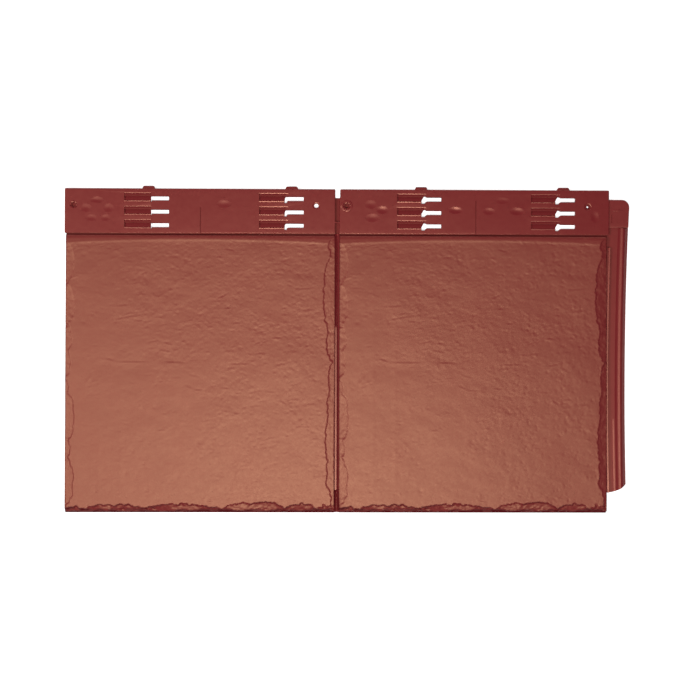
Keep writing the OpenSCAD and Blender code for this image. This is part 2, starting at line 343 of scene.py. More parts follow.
def finish_from(name, *skins, mask=None):
    """A material with one skin, or with two that a mask blends."""
    material = bpy.data.materials.new(name)
    material.use_nodes = True
    material.node_tree.nodes.clear()
    nodes = Nodes(material.node_tree)
    surface, *others = [moulded(nodes, **SKINS[skin]) for skin in skins]
    for other in others:
        surface = nodes.node("ShaderNodeMixShader", None, {
            0: mask(nodes), 1: surface, 2: other}).outputs["Shader"]
    nodes.node("ShaderNodeOutputMaterial", None, {"Surface": surface})
    return material


# On the header, the recess skin darkens the floors of its recesses a little as painted shade.
smooth_finish = finish_from("smooth_plastic", "dull_and_shaded_recess", "polished", mask=above_recess)
satin_finish = finish_from("satin_plastic", "satin")
gutter_finish = finish_from("dull_plastic", "dull")
# On the slates, the broken skin darkens the steep walls as painted shade.
slate_finish = finish_from("riven_plastic", "riven", "broken_and_shaded", mask=steep)
print("finishes:", [finish.name for finish in (smooth_finish, satin_finish, gutter_finish,
                                               slate_finish)])

# %% [markdown]
# ## Making meshes
# A region becomes a Blender object from its corners and faces. Faces on a moulding are smooth
# except where two meet at a clear angle, so each mesh is shaded smooth and its sharp edges are
# marked by angle.

# %% Mesh helpers
SHARP = math.radians(38)
FLAT = math.radians(0.2)        # faces that meet at less than this lie in one plane


def object_from(name, corners, faces, finish):
    """An object with the given corners, in tile millimetres, and faces."""
    mesh = bpy.data.meshes.new(name)
    mesh.from_pydata(to_frame(corners).tolist(), [], [list(face) for face in faces])
    mesh.materials.append(finish)
    piece = bpy.data.objects.new(name, mesh)
    bpy.context.scene.collection.objects.link(piece)
    return piece


def outward(piece, tidy=False):
    """Turns a closed mesh's faces outward and marks its sharp edges.

    Tidying first drops needless points on straight edges and cuts many-sided faces up."""
    work = bmesh.new()
    work.from_mesh(piece.data)
    if tidy:
        bmesh.ops.dissolve_limit(work, angle_limit=FLAT, verts=work.verts, edges=work.edges)
        bmesh.ops.triangulate(work, faces=work.faces, quad_method="BEAUTY", ngon_method="BEAUTY")
    bmesh.ops.recalc_face_normals(work, faces=work.faces)
    work.to_mesh(piece.data)
    work.free()
    piece.data.shade_smooth()
    piece.data.set_sharp_from_angle(angle=SHARP)
    return piece


def open_edges(piece):
    """How many edges don't join two faces."""
    work = bmesh.new()
    work.from_mesh(piece.data)
    count = sum(1 for edge in work.edges if len(edge.link_faces) != 2)
    work.free()
    return count


def report(piece):
    """Prints a piece's size and faces."""
    mesh = piece.data
    mesh.calc_loop_triangles()
    corners = np.empty(len(mesh.vertices) * 3, np.float32)
    mesh.vertices.foreach_get("co", corners)
    span = np.ptp(corners.reshape(-1, 3), axis=0) / MM
    print(f"{piece.name}: {len(mesh.loop_triangles)} triangles,",
          "x".join(f"{side:.1f}" for side in span), f"mm, {open_edges(piece)} open edges")

# %% [markdown]
# ## The riven face
# Split slate has a slow swell, short ledges where a layer ended, and small pits. Both slates
# came from the same master, so their relief is the same. The face is a height field: a grid of
# points in x and y, each with a height. Sculpting it in numbers keeps it exact and repeatable.
# The grid is finer along the chipped edges.

# %% Grid of a slate
SLATE_END = SLATE_L + 4         # the head runs on a little under the header
FIRST_LINE = 0.12       # the first line inside an edge, close to it for an upright wall
GRID_X = (0.75, 1.14, 15)       # spacing at the edges, spacing in the middle, width of the edges
GRID_Y = (0.70, 1.04, 22)


def ruled(length, fine, coarse, margin):
    """Grid lines along one side, closer together within a margin of both ends."""
    near = np.append([0, FIRST_LINE], np.arange(fine, margin, fine))
    middle = np.linspace(margin, length - margin, round((length - 2 * margin) / coarse),
                         endpoint=False)
    return np.concatenate([near, middle, length - near[::-1]])


lines_x = ruled(slate_w, *GRID_X)
lines_y = ruled(SLATE_END, *GRID_Y)
grid_x, grid_y = np.meshgrid(lines_x, lines_y)
print(f"slate grid: {len(lines_x)} x {len(lines_y)} points")

# %% Random fields
LATTICE, LATTICE_STEP = 512, 0.75


def swell(seed, run_x, run_y):
    """A random field on the slate's grid, mean 0 and spread 1, with lumps of about that size."""
    draw = np.random.default_rng(seed).standard_normal((LATTICE, LATTICE))
    turns = np.fft.fftfreq(LATTICE, LATTICE_STEP)
    pass_low = np.exp(-2 * ((turns[None, :] * run_x) ** 2 + (turns[:, None] * run_y) ** 2))
    field = np.fft.ifft2(np.fft.fft2(draw) * pass_low).real
    field = (field - field.mean()) / field.std()
    x, y = grid_x / LATTICE_STEP, grid_y / LATTICE_STEP
    i, j = x.astype(int), y.astype(int)
    right, up = x - i, y - j
    return ((field[j, i] * (1 - right) + field[j, i + 1] * right) * (1 - up)
            + (field[j + 1, i] * (1 - right) + field[j + 1, i + 1] * right) * up)


def rise(value, low, high):
    """0 below low, 1 above high, and a soft step between."""
    share = np.clip((value - low) / (high - low), 0, 1)
    return share * share * (3 - 2 * share)

# %% [markdown]
# ### Ledges
# A ledge is a short line where the face dips a little and then steps up or down. Some are listed
# one by one where the master has a clear one. Many small ones and oval knobs are strewn in loose
# clusters, dense on the upper half and right side, rarer in the smooth lower left.

# %% Ledges listed one by one
# Each is: middle x, middle y, length, turn in degrees, drop
LEDGES = [
    (69, 280, 9, 8, 0.22), (69, 268.5, 18, 9, 0.16), (102, 269, 16, -3, 0.20),
    (119, 285, 10, 0, 0.18), (133, 285, 9, 4, 0.18), (19, 250.5, 20, 0, 0.20),
    (40, 243, 17, -22, 0.16), (44, 254, 9, -12, 0.18), (81, 256, 25, 9, 0.20),
    (84, 243, 10, 4, 0.24), (101, 241.5, 9, -15, 0.22), (126, 242, 12, 3, 0.14),
    (50, 230.5, 15, 0, 0.14), (65, 231, 17, 8, 0.26), (70, 222, 14, 18, 0.28),
    (65, 217, 28, 13, 0.28), (82, 213.5, 8, 0, 0.26), (91, 212.5, 9, 0, 0.20),
    (99, 222.5, 6, 60, 0.24), (104, 218.5, 9, -20, 0.20), (90, 206, 11, 5, 0.18),
    (103, 202, 9, 6, 0.20), (102, 198, 9, 4, 0.16), (33, 185.5, 9, 4, 0.22),
    (97, 190.5, 16, 15, 0.28), (97, 183, 11, 3, 0.26), (110, 180.5, 12, -12, 0.30),
    (121, 182, 6, -30, 0.24), (125, 187.5, 6, -30, 0.22), (87, 180, 7, -55, 0.20),
    (50, 170.5, 11, -18, 0.34), (75, 168.2, 34, 0, 0.34), (123, 167.5, 26, -2, 0.32),
    (60, 161.5, 7, 15, 0.20), (81, 162.5, 8, 5, 0.18), (184, 293, 11, -14, 0.26),
    (171, 285.5, 8, 12, 0.18), (162, 275.5, 7, -15, 0.20), (190, 275, 5, 0, 0.20),
    (234, 291, 16, 0, 0.22), (245, 281.5, 11, 22, 0.22), (247, 277, 11, -20, 0.26),
    (212, 263, 28, 0, 0.14), (155, 254, 9, 22, 0.18), (175, 241.5, 18, 27, 0.36),
    (188.5, 238.5, 9, -35, 0.30), (216.5, 239, 5, 0, 0.34), (266, 250, 23, 4, 0.24),
    (277, 239.5, 8, -25, 0.24), (249, 253.5, 7, -20, 0.22), (243, 228, 8, 10, 0.30),
    (248, 232, 6, -35, 0.28), (178, 228, 10, 0, 0.16), (244, 220.5, 7, 0, 0.24),
    (159, 217.5, 8, -35, 0.24), (190, 211.3, 10, 0, 0.26), (163, 200, 8, -30, 0.24),
    (186, 202.5, 5, 0, 0.24), (193, 202, 5, 0, 0.22), (217, 213.7, 9, 0, 0.20),
    (214, 189, 9, 22, 0.30), (223, 191, 9, 24, 0.30), (235, 195, 14, 0, 0.28),
    (246, 195, 7, -35, 0.20), (212, 177, 26, 6, 0.20), (246, 179, 8, 0, 0.24),
    (255, 180, 6, 8, 0.26), (277, 173.7, 5, 0, 0.26), (194, 166, 22, 1, 0.36),
    (240, 165.5, 18, 10, 0.28), (253, 160, 12, -35, 0.26), (168, 158.5, 8, -25, 0.20),
    (176, 150.6, 8, 8, 0.22), (177, 139, 12, -3, 0.30), (208, 141, 7, -30, 0.28),
    (143, 152.5, 14, -14, 0.30), (138, 140, 12, -28, 0.28), (148, 136.5, 10, 0, 0.32),
    (124, 150.5, 8, 0, 0.20), (76, 144, 9, 0, 0.20), (230, 134.8, 9, 0, 0.28),
    (243, 123, 9, -35, 0.28), (255, 126.5, 11, 4, 0.26), (255, 142.5, 9, 0, 0.24),
    (274, 121, 11, 0, 0.28), (211, 118.7, 16, 6, 0.22), (190.5, 110.5, 6, 0, 0.30),
    (184, 117, 6, -30, 0.28), (264, 96, 17, 0, 0.16), (229, 83.5, 9, 0, 0.22),
    (224, 72.5, 15, 0, 0.20), (246, 67, 8, 15, 0.22), (66, 102.8, 10, -5, 0.16),
    (24, 97, 20, -8, 0.16), (108, 92.3, 12, 0, 0.26), (84, 79.5, 9, 0, 0.20),
    (20, 73, 17, 8, 0.14), (92, 49, 12, -4, 0.18), (54, 37.5, 8, 15, 0.20),
    (79, 36.5, 7, 15, 0.18), (65, 24.8, 48, 0, 0.08), (247, 51, 7, 30, 0.24),
    (192, 46, 9, 55, 0.22), (188, 35, 14, 70, 0.20), (222, 48, 11, 55, 0.22),
    (216, 38, 8, 55, 0.22), (185, 66, 8, -60, 0.24), (180, 69, 6, 80, 0.22),
]

# Round dimples: middle x, middle y, width, depth
DIMPLES = [(35, 24.8, 4.5, 0.35), (90.5, 24.8, 4.5, 0.35), (32, 44.5, 3.6, 0.25),
           (68, 44, 4.5, 0.28), (252.5, 66, 5, 0.30), (279, 68, 4.5, 0.22), (263, 106, 4, 0.24),
           (174.5, 128.2, 4, 0.28), (205, 89, 4, 0.30), (187, 131, 4, 0.22)]
print(len(LEDGES), "ledges and", len(DIMPLES), "dimples placed by hand")

# %% Carve the ledges
LEDGE_STEP_W = 0.45     # half the width of the step itself
LEDGE_FADE = 1.3        # how far the dip and the lift reach to either side
BEND_BACK = 0.4         # keeps a bent ledge's middle near its place
BLUNT = 0.7             # how suddenly a ledge ends
KNOB_REACH = 1.5        # a knob fades out within this many lengths


def around(x, y, turn, reach):
    """The grid around a place, and how far its points lie along and across a turned line."""
    window = (slice(*np.searchsorted(lines_y, (y - reach, y + reach))),
              slice(*np.searchsorted(lines_x, (x - reach, x + reach))))
    dx, dy = grid_x[window] - x, grid_y[window] - y
    turn = math.radians(turn)
    along = dx * math.cos(turn) + dy * math.sin(turn)
    return window, along, dx * math.sin(turn) - dy * math.cos(turn)


def carve_ledge(relief, x, y, length, turn, height, bend=0.0):
    """Adds one ledge to the relief, working only on the grid around it."""
    window, along, down = around(x, y, turn, length / 2 + 4 * LEDGE_FADE)
    along = along / (length / 2)
    down = down + bend * (along ** 2 - BEND_BACK)
    taper = np.clip(1 - along ** 2, 0, 1) ** BLUNT
    step = np.tanh(down / LEDGE_STEP_W) * np.exp(-np.abs(down) / LEDGE_FADE)
    relief[window] += height / 2 * taper * step


def raise_knob(relief, x, y, width, length, turn, height):
    """Adds one oval knob, or a pit where the height is negative."""
    window, along, across = around(x, y, turn, KNOB_REACH * length)
    relief[window] += height * np.exp(-(along / (length / 2)) ** 2 - (across / (width / 2)) ** 2)


relief = np.zeros_like(grid_x)
for x, y, length, turn, height in LEDGES:
    carve_ledge(relief, x, y, length, turn, height)
print(f"ledges placed by hand: from {relief.min():.2f} to {relief.max():.2f} mm")

# %% Strew small ledges and knobs
LEDGE_CLUSTERS, KNOB_CLUSTERS = 420, 260
CLUSTER_COUNT = (2, 12)         # fewest ledges in a cluster, and one more than the most
CLUSTER_W, CLUSTER_L = 7, 6     # how widely a cluster scatters
SMOOTH_SHARE = 0.25             # share of the clusters that stays in the smooth part
SMALL_LEDGE, SMALL_KNOB = (0.04, 0.19), (0.03, 0.15)    # heights
SHORTEST_LEDGE, LEDGE_DRAW = 2.0, (2.2, 1.5)    # shape and scale of the draw of longer ones
TURN, TURN_SPREAD, RIGHT_SPREAD = 4, 16, 40     # in degrees; on the right they lie every way
BEND_SPREAD = 0.5
KNOB_LENGTH = (1.8, 4.2)
# The rough upper part: y where it begins, x where it is at its full, its share at the left
UPPER_LEDGES, UPPER_RUN, UPPER_LEFT = (110, 85, 0.4), 80, 40
RIGHT_LEDGES = (110, 190)       # the rough right side: x where it begins, x where it is full


def upper_part(x, y, from_y, to_x, least):
    """How far a place belongs to the rough upper part, which fades out toward the left edge."""
    return rise(y, from_y, from_y + UPPER_RUN) * (
        least + (1 - least) * rise(x, UPPER_LEFT, to_x))


def rough_places(rng, clusters):
    """Places in loose clusters, thick where the master is rough, and how far right they lie."""
    for _ in range(clusters):
        x, y = rng.uniform(4, slate_w - 4), rng.uniform(8, SLATE_L - 6)
        right = rise(x, *RIGHT_LEDGES)
        if rng.random() > max(SMOOTH_SHARE, upper_part(x, y, *UPPER_LEDGES), right):
            continue
        for _ in range(rng.integers(*CLUSTER_COUNT)):
            yield x + rng.normal(0, CLUSTER_W), y + rng.normal(0, CLUSTER_L), right


rng = np.random.default_rng(11)
for x, y, right in rough_places(rng, LEDGE_CLUSTERS):
    turn = rng.normal(TURN, TURN_SPREAD + RIGHT_SPREAD * right)
    height = rng.uniform(*SMALL_LEDGE) * rng.choice((-1, 1))
    length = rng.gamma(*LEDGE_DRAW) + SHORTEST_LEDGE
    carve_ledge(relief, x, y, length, turn, height, rng.normal(0, BEND_SPREAD))
for x, y, right in rough_places(rng, KNOB_CLUSTERS):
    length = rng.uniform(*KNOB_LENGTH)
    height = rng.uniform(*SMALL_KNOB) * rng.choice((-1, 1))
    raise_knob(relief, x, y, length * rng.uniform(0.5, 1), length, rng.uniform(0, 180), height)
for x, y, width, depth in DIMPLES:
    raise_knob(relief, x, y, width, width, 0, -depth / 2)
print(f"ledges: from {relief.min():.2f} to {relief.max():.2f} mm")

# %% [markdown]
# ### Swell, ripples and pits
# Under the ledges lies a slow swell. The upper half ripples across the slate, and the lower
# right is dotted with small pits. Two faint upright lines show where ribs behind the skin
# drew it in as the plastic cooled.

# %% Swell, ripples, pits and sink lines
# Each swell is: seed, size of its lumps in x and in y, height
SWELLS = [(1, 60, 50, 0.12), (2, 20, 15, 0.038), (9, 8, 7, 0.016), (5, 2.2, 1.8, 0.009)]
RIPPLES, PITS = (3, 5, 2.4), (4, 2.6, 2.2)      # seed and sizes of their fields
RIPPLE, UPPER_RIPPLE = 0.004, 0.008     # height everywhere, and how much more in the upper part
UPPER_RIPPLES = (120, 80, 0.3)          # their upper part, as for the ledges
PIT, RIGHT_PIT = 0.03, 0.10             # depth everywhere, and how much more on the right
PIT_RISE, RIGHT_PITS = (0.9, 2.6), (130, 200)   # part of the field that makes pits; their side
SINK_LINES, SINK_LINE_W, SINK_LINE_H = (38, 62.5), 2.6, 0.04
SINK_START, SINK_END = (15, 40), (200, 240)     # y where these lines fade in and out

for seed, run_x, run_y, height in SWELLS:
    relief += height * swell(seed, run_x, run_y)
ripple = RIPPLE + UPPER_RIPPLE * upper_part(grid_x, grid_y, *UPPER_RIPPLES)
relief += ripple * swell(*RIPPLES)
pit = PIT + RIGHT_PIT * rise(grid_x, *RIGHT_PITS)
relief -= pit * rise(swell(*PITS), *PIT_RISE)
sink_run = rise(grid_y, *SINK_START) * (1 - rise(grid_y, *SINK_END))
for x in SINK_LINES:
    relief += SINK_LINE_H * np.exp(-((grid_x - x) / SINK_LINE_W) ** 2) * sink_run
relief -= np.percentile(relief, 99)     # nearly all of it lies under the face's plane
print(f"relief: from {relief.min():.2f} to {relief.max():.2f} mm, under the face's plane")

# %% [markdown]
# ### Chipped edges
# A slate's edges are dressed with a hammer, which leaves scallops: each blow takes a shallow
# facet out of the edge, with a crisp rim. A facet here is given by its middle along the edge,
# half its width, its reach inward, the step at its rim, and how fast it falls from there
# outward. Small steep facets lie inside wide shallow ones, and many more are strewn between
# them. Inside a facet the stone's split layers show as thin lines. Below the facets an uneven
# wall falls to the foot. Along its right edge the left slate's facets hardly fall beyond their
# rims, and the right slate's fall clearly.

# %% Facets along the edges
BUTT_CHIPS = [
    (12, 16, 6.6, 1.5, 0.35), (46, 24, 9.4, 1.3, 0.18), (36, 12, 7.2, 1.4, 0.40),
    (66, 22, 9.2, 1.6, 0.25), (72, 12, 5.6, 1.0, 0.45), (128, 34, 10.4, 1.2, 0.20),
    (106, 18, 8.6, 1.5, 0.45), (140, 14, 6.4, 0.9, 0.35), (160, 16, 6.8, 1.5, 0.45),
    (196, 22, 11.2, 0.9, 0.16), (222, 24, 12.6, 1.3, 0.22), (188, 12, 6.0, 0.8, 0.35),
    (232, 13, 6.6, 1.5, 0.45), (262, 19, 10.4, 1.2, 0.30), (268, 10, 7.4, 1.0, 0.45),
    (252, 8, 5.4, 0.8, 0.40), (292, 12, 8.4, 0.7, 0.30),
]
RIGHT_CHIPS = [
    (243, 45, 13.0, 0.55, 0.18), (250, 16, 6.6, 0.70, 0.30), (226, 14, 5.4, 0.70, 0.35),
    (192, 24, 9.2, 0.55, 0.20), (198, 9, 5.0, 0.65, 0.35), (178, 11, 5.6, 0.65, 0.30),
    (150, 20, 6.6, 0.55, 0.25), (120, 20, 8.2, 0.55, 0.20), (128, 9, 4.6, 0.70, 0.35),
    (82, 34, 10.5, 0.55, 0.19), (90, 13, 6.0, 0.70, 0.30), (68, 12, 4.8, 0.65, 0.35),
    (44, 24, 9.4, 0.55, 0.20), (36, 12, 5.2, 0.65, 0.30), (18, 13, 4.6, 0.60, 0.30),
    (290, 15, 3.5, 0.40, 0.30),
]
LEFT_CHIPS = [
    (278, 22, 9.4, 0.25, 0.08), (232, 22, 9.6, 0.25, 0.08), (194, 16, 7.0, 0.30, 0.10),
    (168, 16, 6.2, 0.35, 0.10), (138, 10, 5.0, 0.45, 0.12), (107, 28, 10.8, 0.50, 0.10),
    (112, 13, 5.4, 0.50, 0.20), (73, 12, 6.4, 0.50, 0.12), (36, 27, 10.2, 0.50, 0.10),
    (44, 12, 5.8, 0.50, 0.20), (20, 12, 5.0, 0.50, 0.20),
]


CORNER_KEEP, SMALL_HALF_W = 8, (3, 8)   # small facets keep clear of the corners


def small_chips(seed, count, length, reach, step, fall):
    """Small facets strewn along an edge; each size is drawn between two limits."""
    rng = np.random.default_rng(seed)
    limits = ((CORNER_KEEP, length - CORNER_KEEP), SMALL_HALF_W, reach, step, fall)
    return [tuple(rng.uniform(*pair) for pair in limits) for _ in range(count)]


BUTT_CHIPS += small_chips(21, 26, slate_w, (3.5, 8.5), (0.6, 1.4), (0.15, 0.5))
RIGHT_CHIPS += small_chips(22, 22, SLATE_L, (2.5, 8.5), (0.45, 0.8), (0.10, 0.35))
LEFT_CHIPS += small_chips(23, 14, SLATE_L, (1.5, 5.0), (0.25, 0.5), (0.10, 0.25))
print(len(BUTT_CHIPS), "facets along the butt,", len(RIGHT_CHIPS), "along the right edge and",
      len(LEFT_CHIPS), "along the left one")

# %% Depth of the facets
RIM_W = 0.9             # how wide the step at a facet's rim is
SCALLOP = 2.6           # how blunt a facet's outline is
LAYER = 0.55            # how thick the layers are that show as thin lines inside a facet
LAYER_BEND, LAYER_STEP = 0.45, 0.5      # how much their lines bend, and how clear they are
LAYER_RAMP = (0.30, 0.62)       # part of a layer's thickness over which its step falls
LAYERED = (0.3, 0.8)    # depths between which the layers fade in


def chip_depth(along, inward, chips, share=1.0):
    """How deep an edge's facets bite at each place, falling by a share of their slopes."""
    depth = np.zeros_like(along)
    for middle, half_w, reach, step, fall in chips:
        off = np.abs(along - middle) / half_w
        into = np.maximum(reach * np.clip(1 - off ** SCALLOP, 0, 1) ** 0.5 - inward, 0)
        depth = np.maximum(depth, step * rise(into, 0, RIM_W) + share * fall * into)
    return depth


def split_layers(depth, grain):
    """Breaks a facet's smooth fall into thin layers, bent by a random field."""
    level = depth / LAYER + LAYER_BEND * grain
    part = level - np.floor(level)
    ramp = rise(part, *LAYER_RAMP) - part
    return depth + LAYER_STEP * LAYER * ramp * rise(depth, *LAYERED)


def soft_min(first, second, blend):
    """The lower of two heights, with the edge between them rounded."""
    lower = np.minimum(first, second)
    return lower - blend * np.log1p(np.exp(-np.abs(first - second) / blend))


deepest = chip_depth(grid_x, grid_y, BUTT_CHIPS).max()
print(f"the butt's facets bite up to {deepest:.1f} mm deep")

# %% Heights of the slate's face and walls
WOBBLE = 0.55           # how far a facet's rim strays
HEAD_BACK, HEAD_CORNER = 4.5, 4.2       # width of the head's round-over: middle, more at ends
HEAD_BEND = 2.4         # how suddenly the round-over widens toward the ends
HEAD_START = SLATE_L + 1
HEAD_R = 9.0            # rounding of the head's right corner
HEAD_LIP, LIP_RUN = 0.18, 1.6   # height of the lip along the head, and how far it reaches
GROOVE_Z = 4.8          # bottom of the groove between head and header
BUTT_WALL, SIDE_WALL = 3.6, 0.1         # how wide the walls look from above
BUTT_BLEND, SIDE_BLEND = 0.12, 0.10     # how rounded the edge between face and wall is
WALL_RISE, WALL_CURVE, WALL_ROUGH = 6.6, 0.85, 0.22
LOWEST, HEADROOM = FOOT_Z - 0.6, 0.05   # limits of the heights, from the bed and the box's top

edges = {       # how far along, how far inward, its facets, and how ragged they are
    "butt": (grid_x, grid_y, BUTT_CHIPS, 0.4),
    "right": (grid_y, slate_w - grid_x, RIGHT_CHIPS, 0.08),
    "left": (grid_y, grid_x, LEFT_CHIPS, 0.08),
}
# Fields that bend the rims, jag them and roughen the butt's wall: seed, sizes of the lumps
wobble = swell(6, 4.0, 4.0)
jag = swell(12, 2.0, 2.0)
rough_across = swell(7, 7, 2)


def bare_face(y):
    """The face's plane, without relief."""
    return BUTT_Z + (HEAD_Z - BUTT_Z) * np.minimum(y, SLATE_L) / SLATE_L


def wall_height(inward, width, rough):
    """The wall that rises from the foot: steep, and rougher further up."""
    share = np.maximum(inward, 0) / (width * (1 + WALL_ROUGH * rough))
    return FOOT_Z + WALL_RISE * share ** WALL_CURVE


def slate_heights(right_share):
    """The top of a slate, whose right facets fall by a share of their listed slopes."""
    top = bare_face(grid_y) + relief
    for edge, (along, inward, chips, ragged) in edges.items():
        share = right_share if edge == "right" else 1.0
        depth = chip_depth(along, inward + WOBBLE * wobble + ragged * jag, chips, share)
        top = top - split_layers(depth, jag)
    head_back = HEAD_BACK + HEAD_CORNER * np.abs(grid_x / slate_w * 2 - 1) ** HEAD_BEND
    from_corner = np.clip(1 - (slate_w - grid_x) / HEAD_R, 0, 1)
    head_back += HEAD_R * (1 - np.sqrt(1 - from_corner ** 2))
    from_lip = (HEAD_START - head_back - LIP_RUN - grid_y) / LIP_RUN
    top += HEAD_LIP * np.exp(-from_lip ** 2)
    up_the_round = np.clip((HEAD_START - grid_y) / (head_back + 1), 0, 1)
    top = GROOVE_Z + (top - GROOVE_Z) * np.sqrt(1 - (1 - up_the_round) ** 3)
    top = soft_min(top, wall_height(grid_y, BUTT_WALL, rough_across), BUTT_BLEND)
    for inward in (grid_x, slate_w - grid_x):
        top = soft_min(top, wall_height(inward, SIDE_WALL, 0), SIDE_BLEND)
    return np.clip(top, LOWEST, tile_h - HEADROOM)


RIGHT_FALL = {"left": 0.1, "right": 1.0}        # for each slate
tops = {side: slate_heights(share) for side, share in RIGHT_FALL.items()}
for side, top in tops.items():
    print(f"{side} slate: heights {top.min():.2f} to {top.max():.2f} mm")

# %% [markdown]
# ### Closing the shell
# The slate is a skin over a hollow, open below. The outer grid's rim drops to the bed, a
# narrow ring runs inward there, and a coarser inner surface roofs the hollow. The two rims
# have different numbers of points, so a zip joins them: at each step it moves on along the
# rim that lags behind.

# %% Rims and faces
def rim(rows, columns, start=0):
    """The indices of a grid's border points, once round."""
    grid = np.arange(rows * columns).reshape(rows, columns) + start
    return np.concatenate([grid[0, :-1], grid[:-1, -1], grid[-1, :0:-1], grid[:0:-1, 0]])


def quads(rows, columns, start=0):
    """The faces of a grid of points."""
    grid = np.arange(rows * columns).reshape(rows, columns) + start
    return np.stack([grid[:-1, :-1], grid[:-1, 1:], grid[1:, 1:], grid[1:, :-1]], -1).reshape(-1, 4)


def strip(first, second):
    """Quads between two rims with the same number of points."""
    return np.stack([first, np.roll(first, -1), np.roll(second, -1), second], -1)


def zip_rims(first, second, corners):
    """Triangles between two closed rims that start at the same corner."""
    def shares(ring):
        points = corners[np.append(ring, ring[0]), :2]
        run = np.concatenate([[0], np.cumsum(np.linalg.norm(np.diff(points, axis=0), axis=1))])
        return run / run[-1]

    a, b = shares(first), shares(second)
    i = j = 0
    faces = []
    while i < len(first) or j < len(second):
        here, there = first[i % len(first)], second[j % len(second)]
        if j == len(second) or (i < len(first) and a[i + 1] <= b[j + 1]):
            faces.append((here, first[(i + 1) % len(first)], there))
            i += 1
        else:
            faces.append((here, second[(j + 1) % len(second)], there))
            j += 1
    return faces


print("the outer rim has", len(rim(len(lines_y), len(lines_x))), "points")

# %% Shell of a slate
INNER_EVERY = 8         # the hollow's roof takes every eighth grid line
INNER_FOOT = 1.2        # height of the hollow's walls before they lean inward
SIDE_LEAN, HEAD_LEAN = 0.9, 0.6         # slopes of the hollow's roof near its edges
# Over these slopes the walls' painted shade fades in as well: the broken skin darkens their colour.
STEEP_FROM, STEEP_TO = 0.65, 1.35       # slopes between which the face's sheen fades out
LEAST_KEPT = 0.6        # share that a steep place keeps where its surroundings are flat


def steepness(top):
    """How steep the slate is at each grid point, from 0 on the face to 1 on a wall."""
    slope_y, slope_x = np.gradient(top, lines_y, lines_x)
    share = rise(np.hypot(slope_x, slope_y), STEEP_FROM, STEEP_TO)
    spread = share.copy()
    for axis in (0, 1):
        spread = (np.roll(spread, 1, axis) + 2 * spread + np.roll(spread, -1, axis)) / 4
    return np.maximum(spread, LEAST_KEPT * share)


def thinned(lines, length):
    """Some of the grid's lines, drawn in to lie inside the walls."""
    keep = np.unique(np.append(np.arange(0, len(lines), INNER_EVERY), len(lines) - 1))
    return WALL + lines[keep] * (length - 2 * WALL) / length


def hollow_grid():
    """The surface that roofs a slate's hollow: a grid of places, thinned from the face's."""
    x, y = np.meshgrid(thinned(lines_x, slate_w), thinned(lines_y, SLATE_END))
    z = bare_face(y) - WALL
    for along, inward, chips in ((x, y, BUTT_CHIPS), (y, slate_w - x, RIGHT_CHIPS),
                                 (y, x, LEFT_CHIPS)):
        z = z - chip_depth(along, inward, chips)
        z = np.minimum(z, INNER_FOOT + SIDE_LEAN * (inward - WALL))
    z = np.minimum(z, INNER_FOOT + HEAD_LEAN * (SLATE_END - WALL - y))
    return np.stack([x, y, np.maximum(z, INNER_FOOT)], -1)


def slate_shell(name, left, top):
    """A closed slate with the given top, whose left edge is at the given x."""
    outer, inner = np.stack([grid_x, grid_y, top], -1), hollow_grid()
    corners = np.concatenate([outer.reshape(-1, 3), inner.reshape(-1, 3)])
    inner_start = top.size
    outer_rim = rim(*outer.shape[:2])
    inner_rim = rim(*inner.shape[:2], inner_start)
    feet = []
    for ring in (outer_rim, inner_rim):
        down = corners[ring].copy()
        down[:, 2] = 0
        feet.append(np.arange(len(ring)) + len(corners))
        corners = np.concatenate([corners, down])
    faces = [*quads(*outer.shape[:2]), *quads(*inner.shape[:2], inner_start)[:, ::-1],
             *strip(feet[0], outer_rim), *strip(inner_rim, feet[1]),
             *zip_rims(feet[0], feet[1], corners)]
    corners[:, 0] += left
    slate = outward(object_from(name, corners, faces, slate_finish))
    steep = slate.data.attributes.new("steep", "FLOAT", "POINT")
    shares = np.ones(len(corners), np.float32)
    shares[:inner_start] = steepness(top).ravel()
    steep.data.foreach_set("value", shares)
    return slate


starts = {"left": INSET, "right": INSET + PITCH}
slates = [slate_shell(f"slate_{side}", left, tops[side]) for side, left in starts.items()]
for slate in slates:
    report(slate)

# %% [markdown]
# ### Ribs under a slate
# A thin wide skin would sag and warp, so ribs stiffen it from below. They hang from the skin
# and stop short of the bed. Ribs repeat at an even spacing, which suits Geometry Nodes: boxes
# are put along a line, joined into one body, and stretched to reach the sloping skin.

# %% Helpers for node groups
def evaluated(piece):
    """Replaces a piece's data by what its modifiers make, and drops the modifiers."""
    view = bpy.context.evaluated_depsgraph_get()
    mesh = bpy.data.meshes.new_from_object(piece.evaluated_get(view), depsgraph=view)
    piece.modifiers.clear()
    piece.data = mesh
    return piece


def node_group(name, sockets):
    """A Geometry Nodes group with the given inputs, each a name and a kind of socket."""
    group = bpy.data.node_groups.new(name, "GeometryNodeTree")
    group.interface.new_socket("Geometry", in_out="OUTPUT", socket_type="NodeSocketGeometry")
    for title, kind in sockets.items():
        group.interface.new_socket(title, in_out="INPUT", socket_type=f"NodeSocket{kind}")
    nodes = Nodes(group)
    entry = group.nodes.new("NodeGroupInput")
    return group, nodes, entry


def finish_group(nodes, geometry):
    """Ends a group: real geometry, in the material its Finish input names."""
    entry = nodes.node("NodeGroupInput")
    real = nodes.node("GeometryNodeRealizeInstances", None, {"Geometry": geometry})
    painted = nodes.node("GeometryNodeSetMaterial", None, {
        "Geometry": real.outputs["Geometry"], "Material": entry.outputs["Finish"]})
    nodes.node("NodeGroupOutput", None, {"Geometry": painted.outputs["Geometry"]})


def inputs(group):
    """A group's inputs by name, each with its socket's identifier."""
    return {item.name: item.identifier for item in group.interface.items_tree
            if item.in_out == "INPUT"}


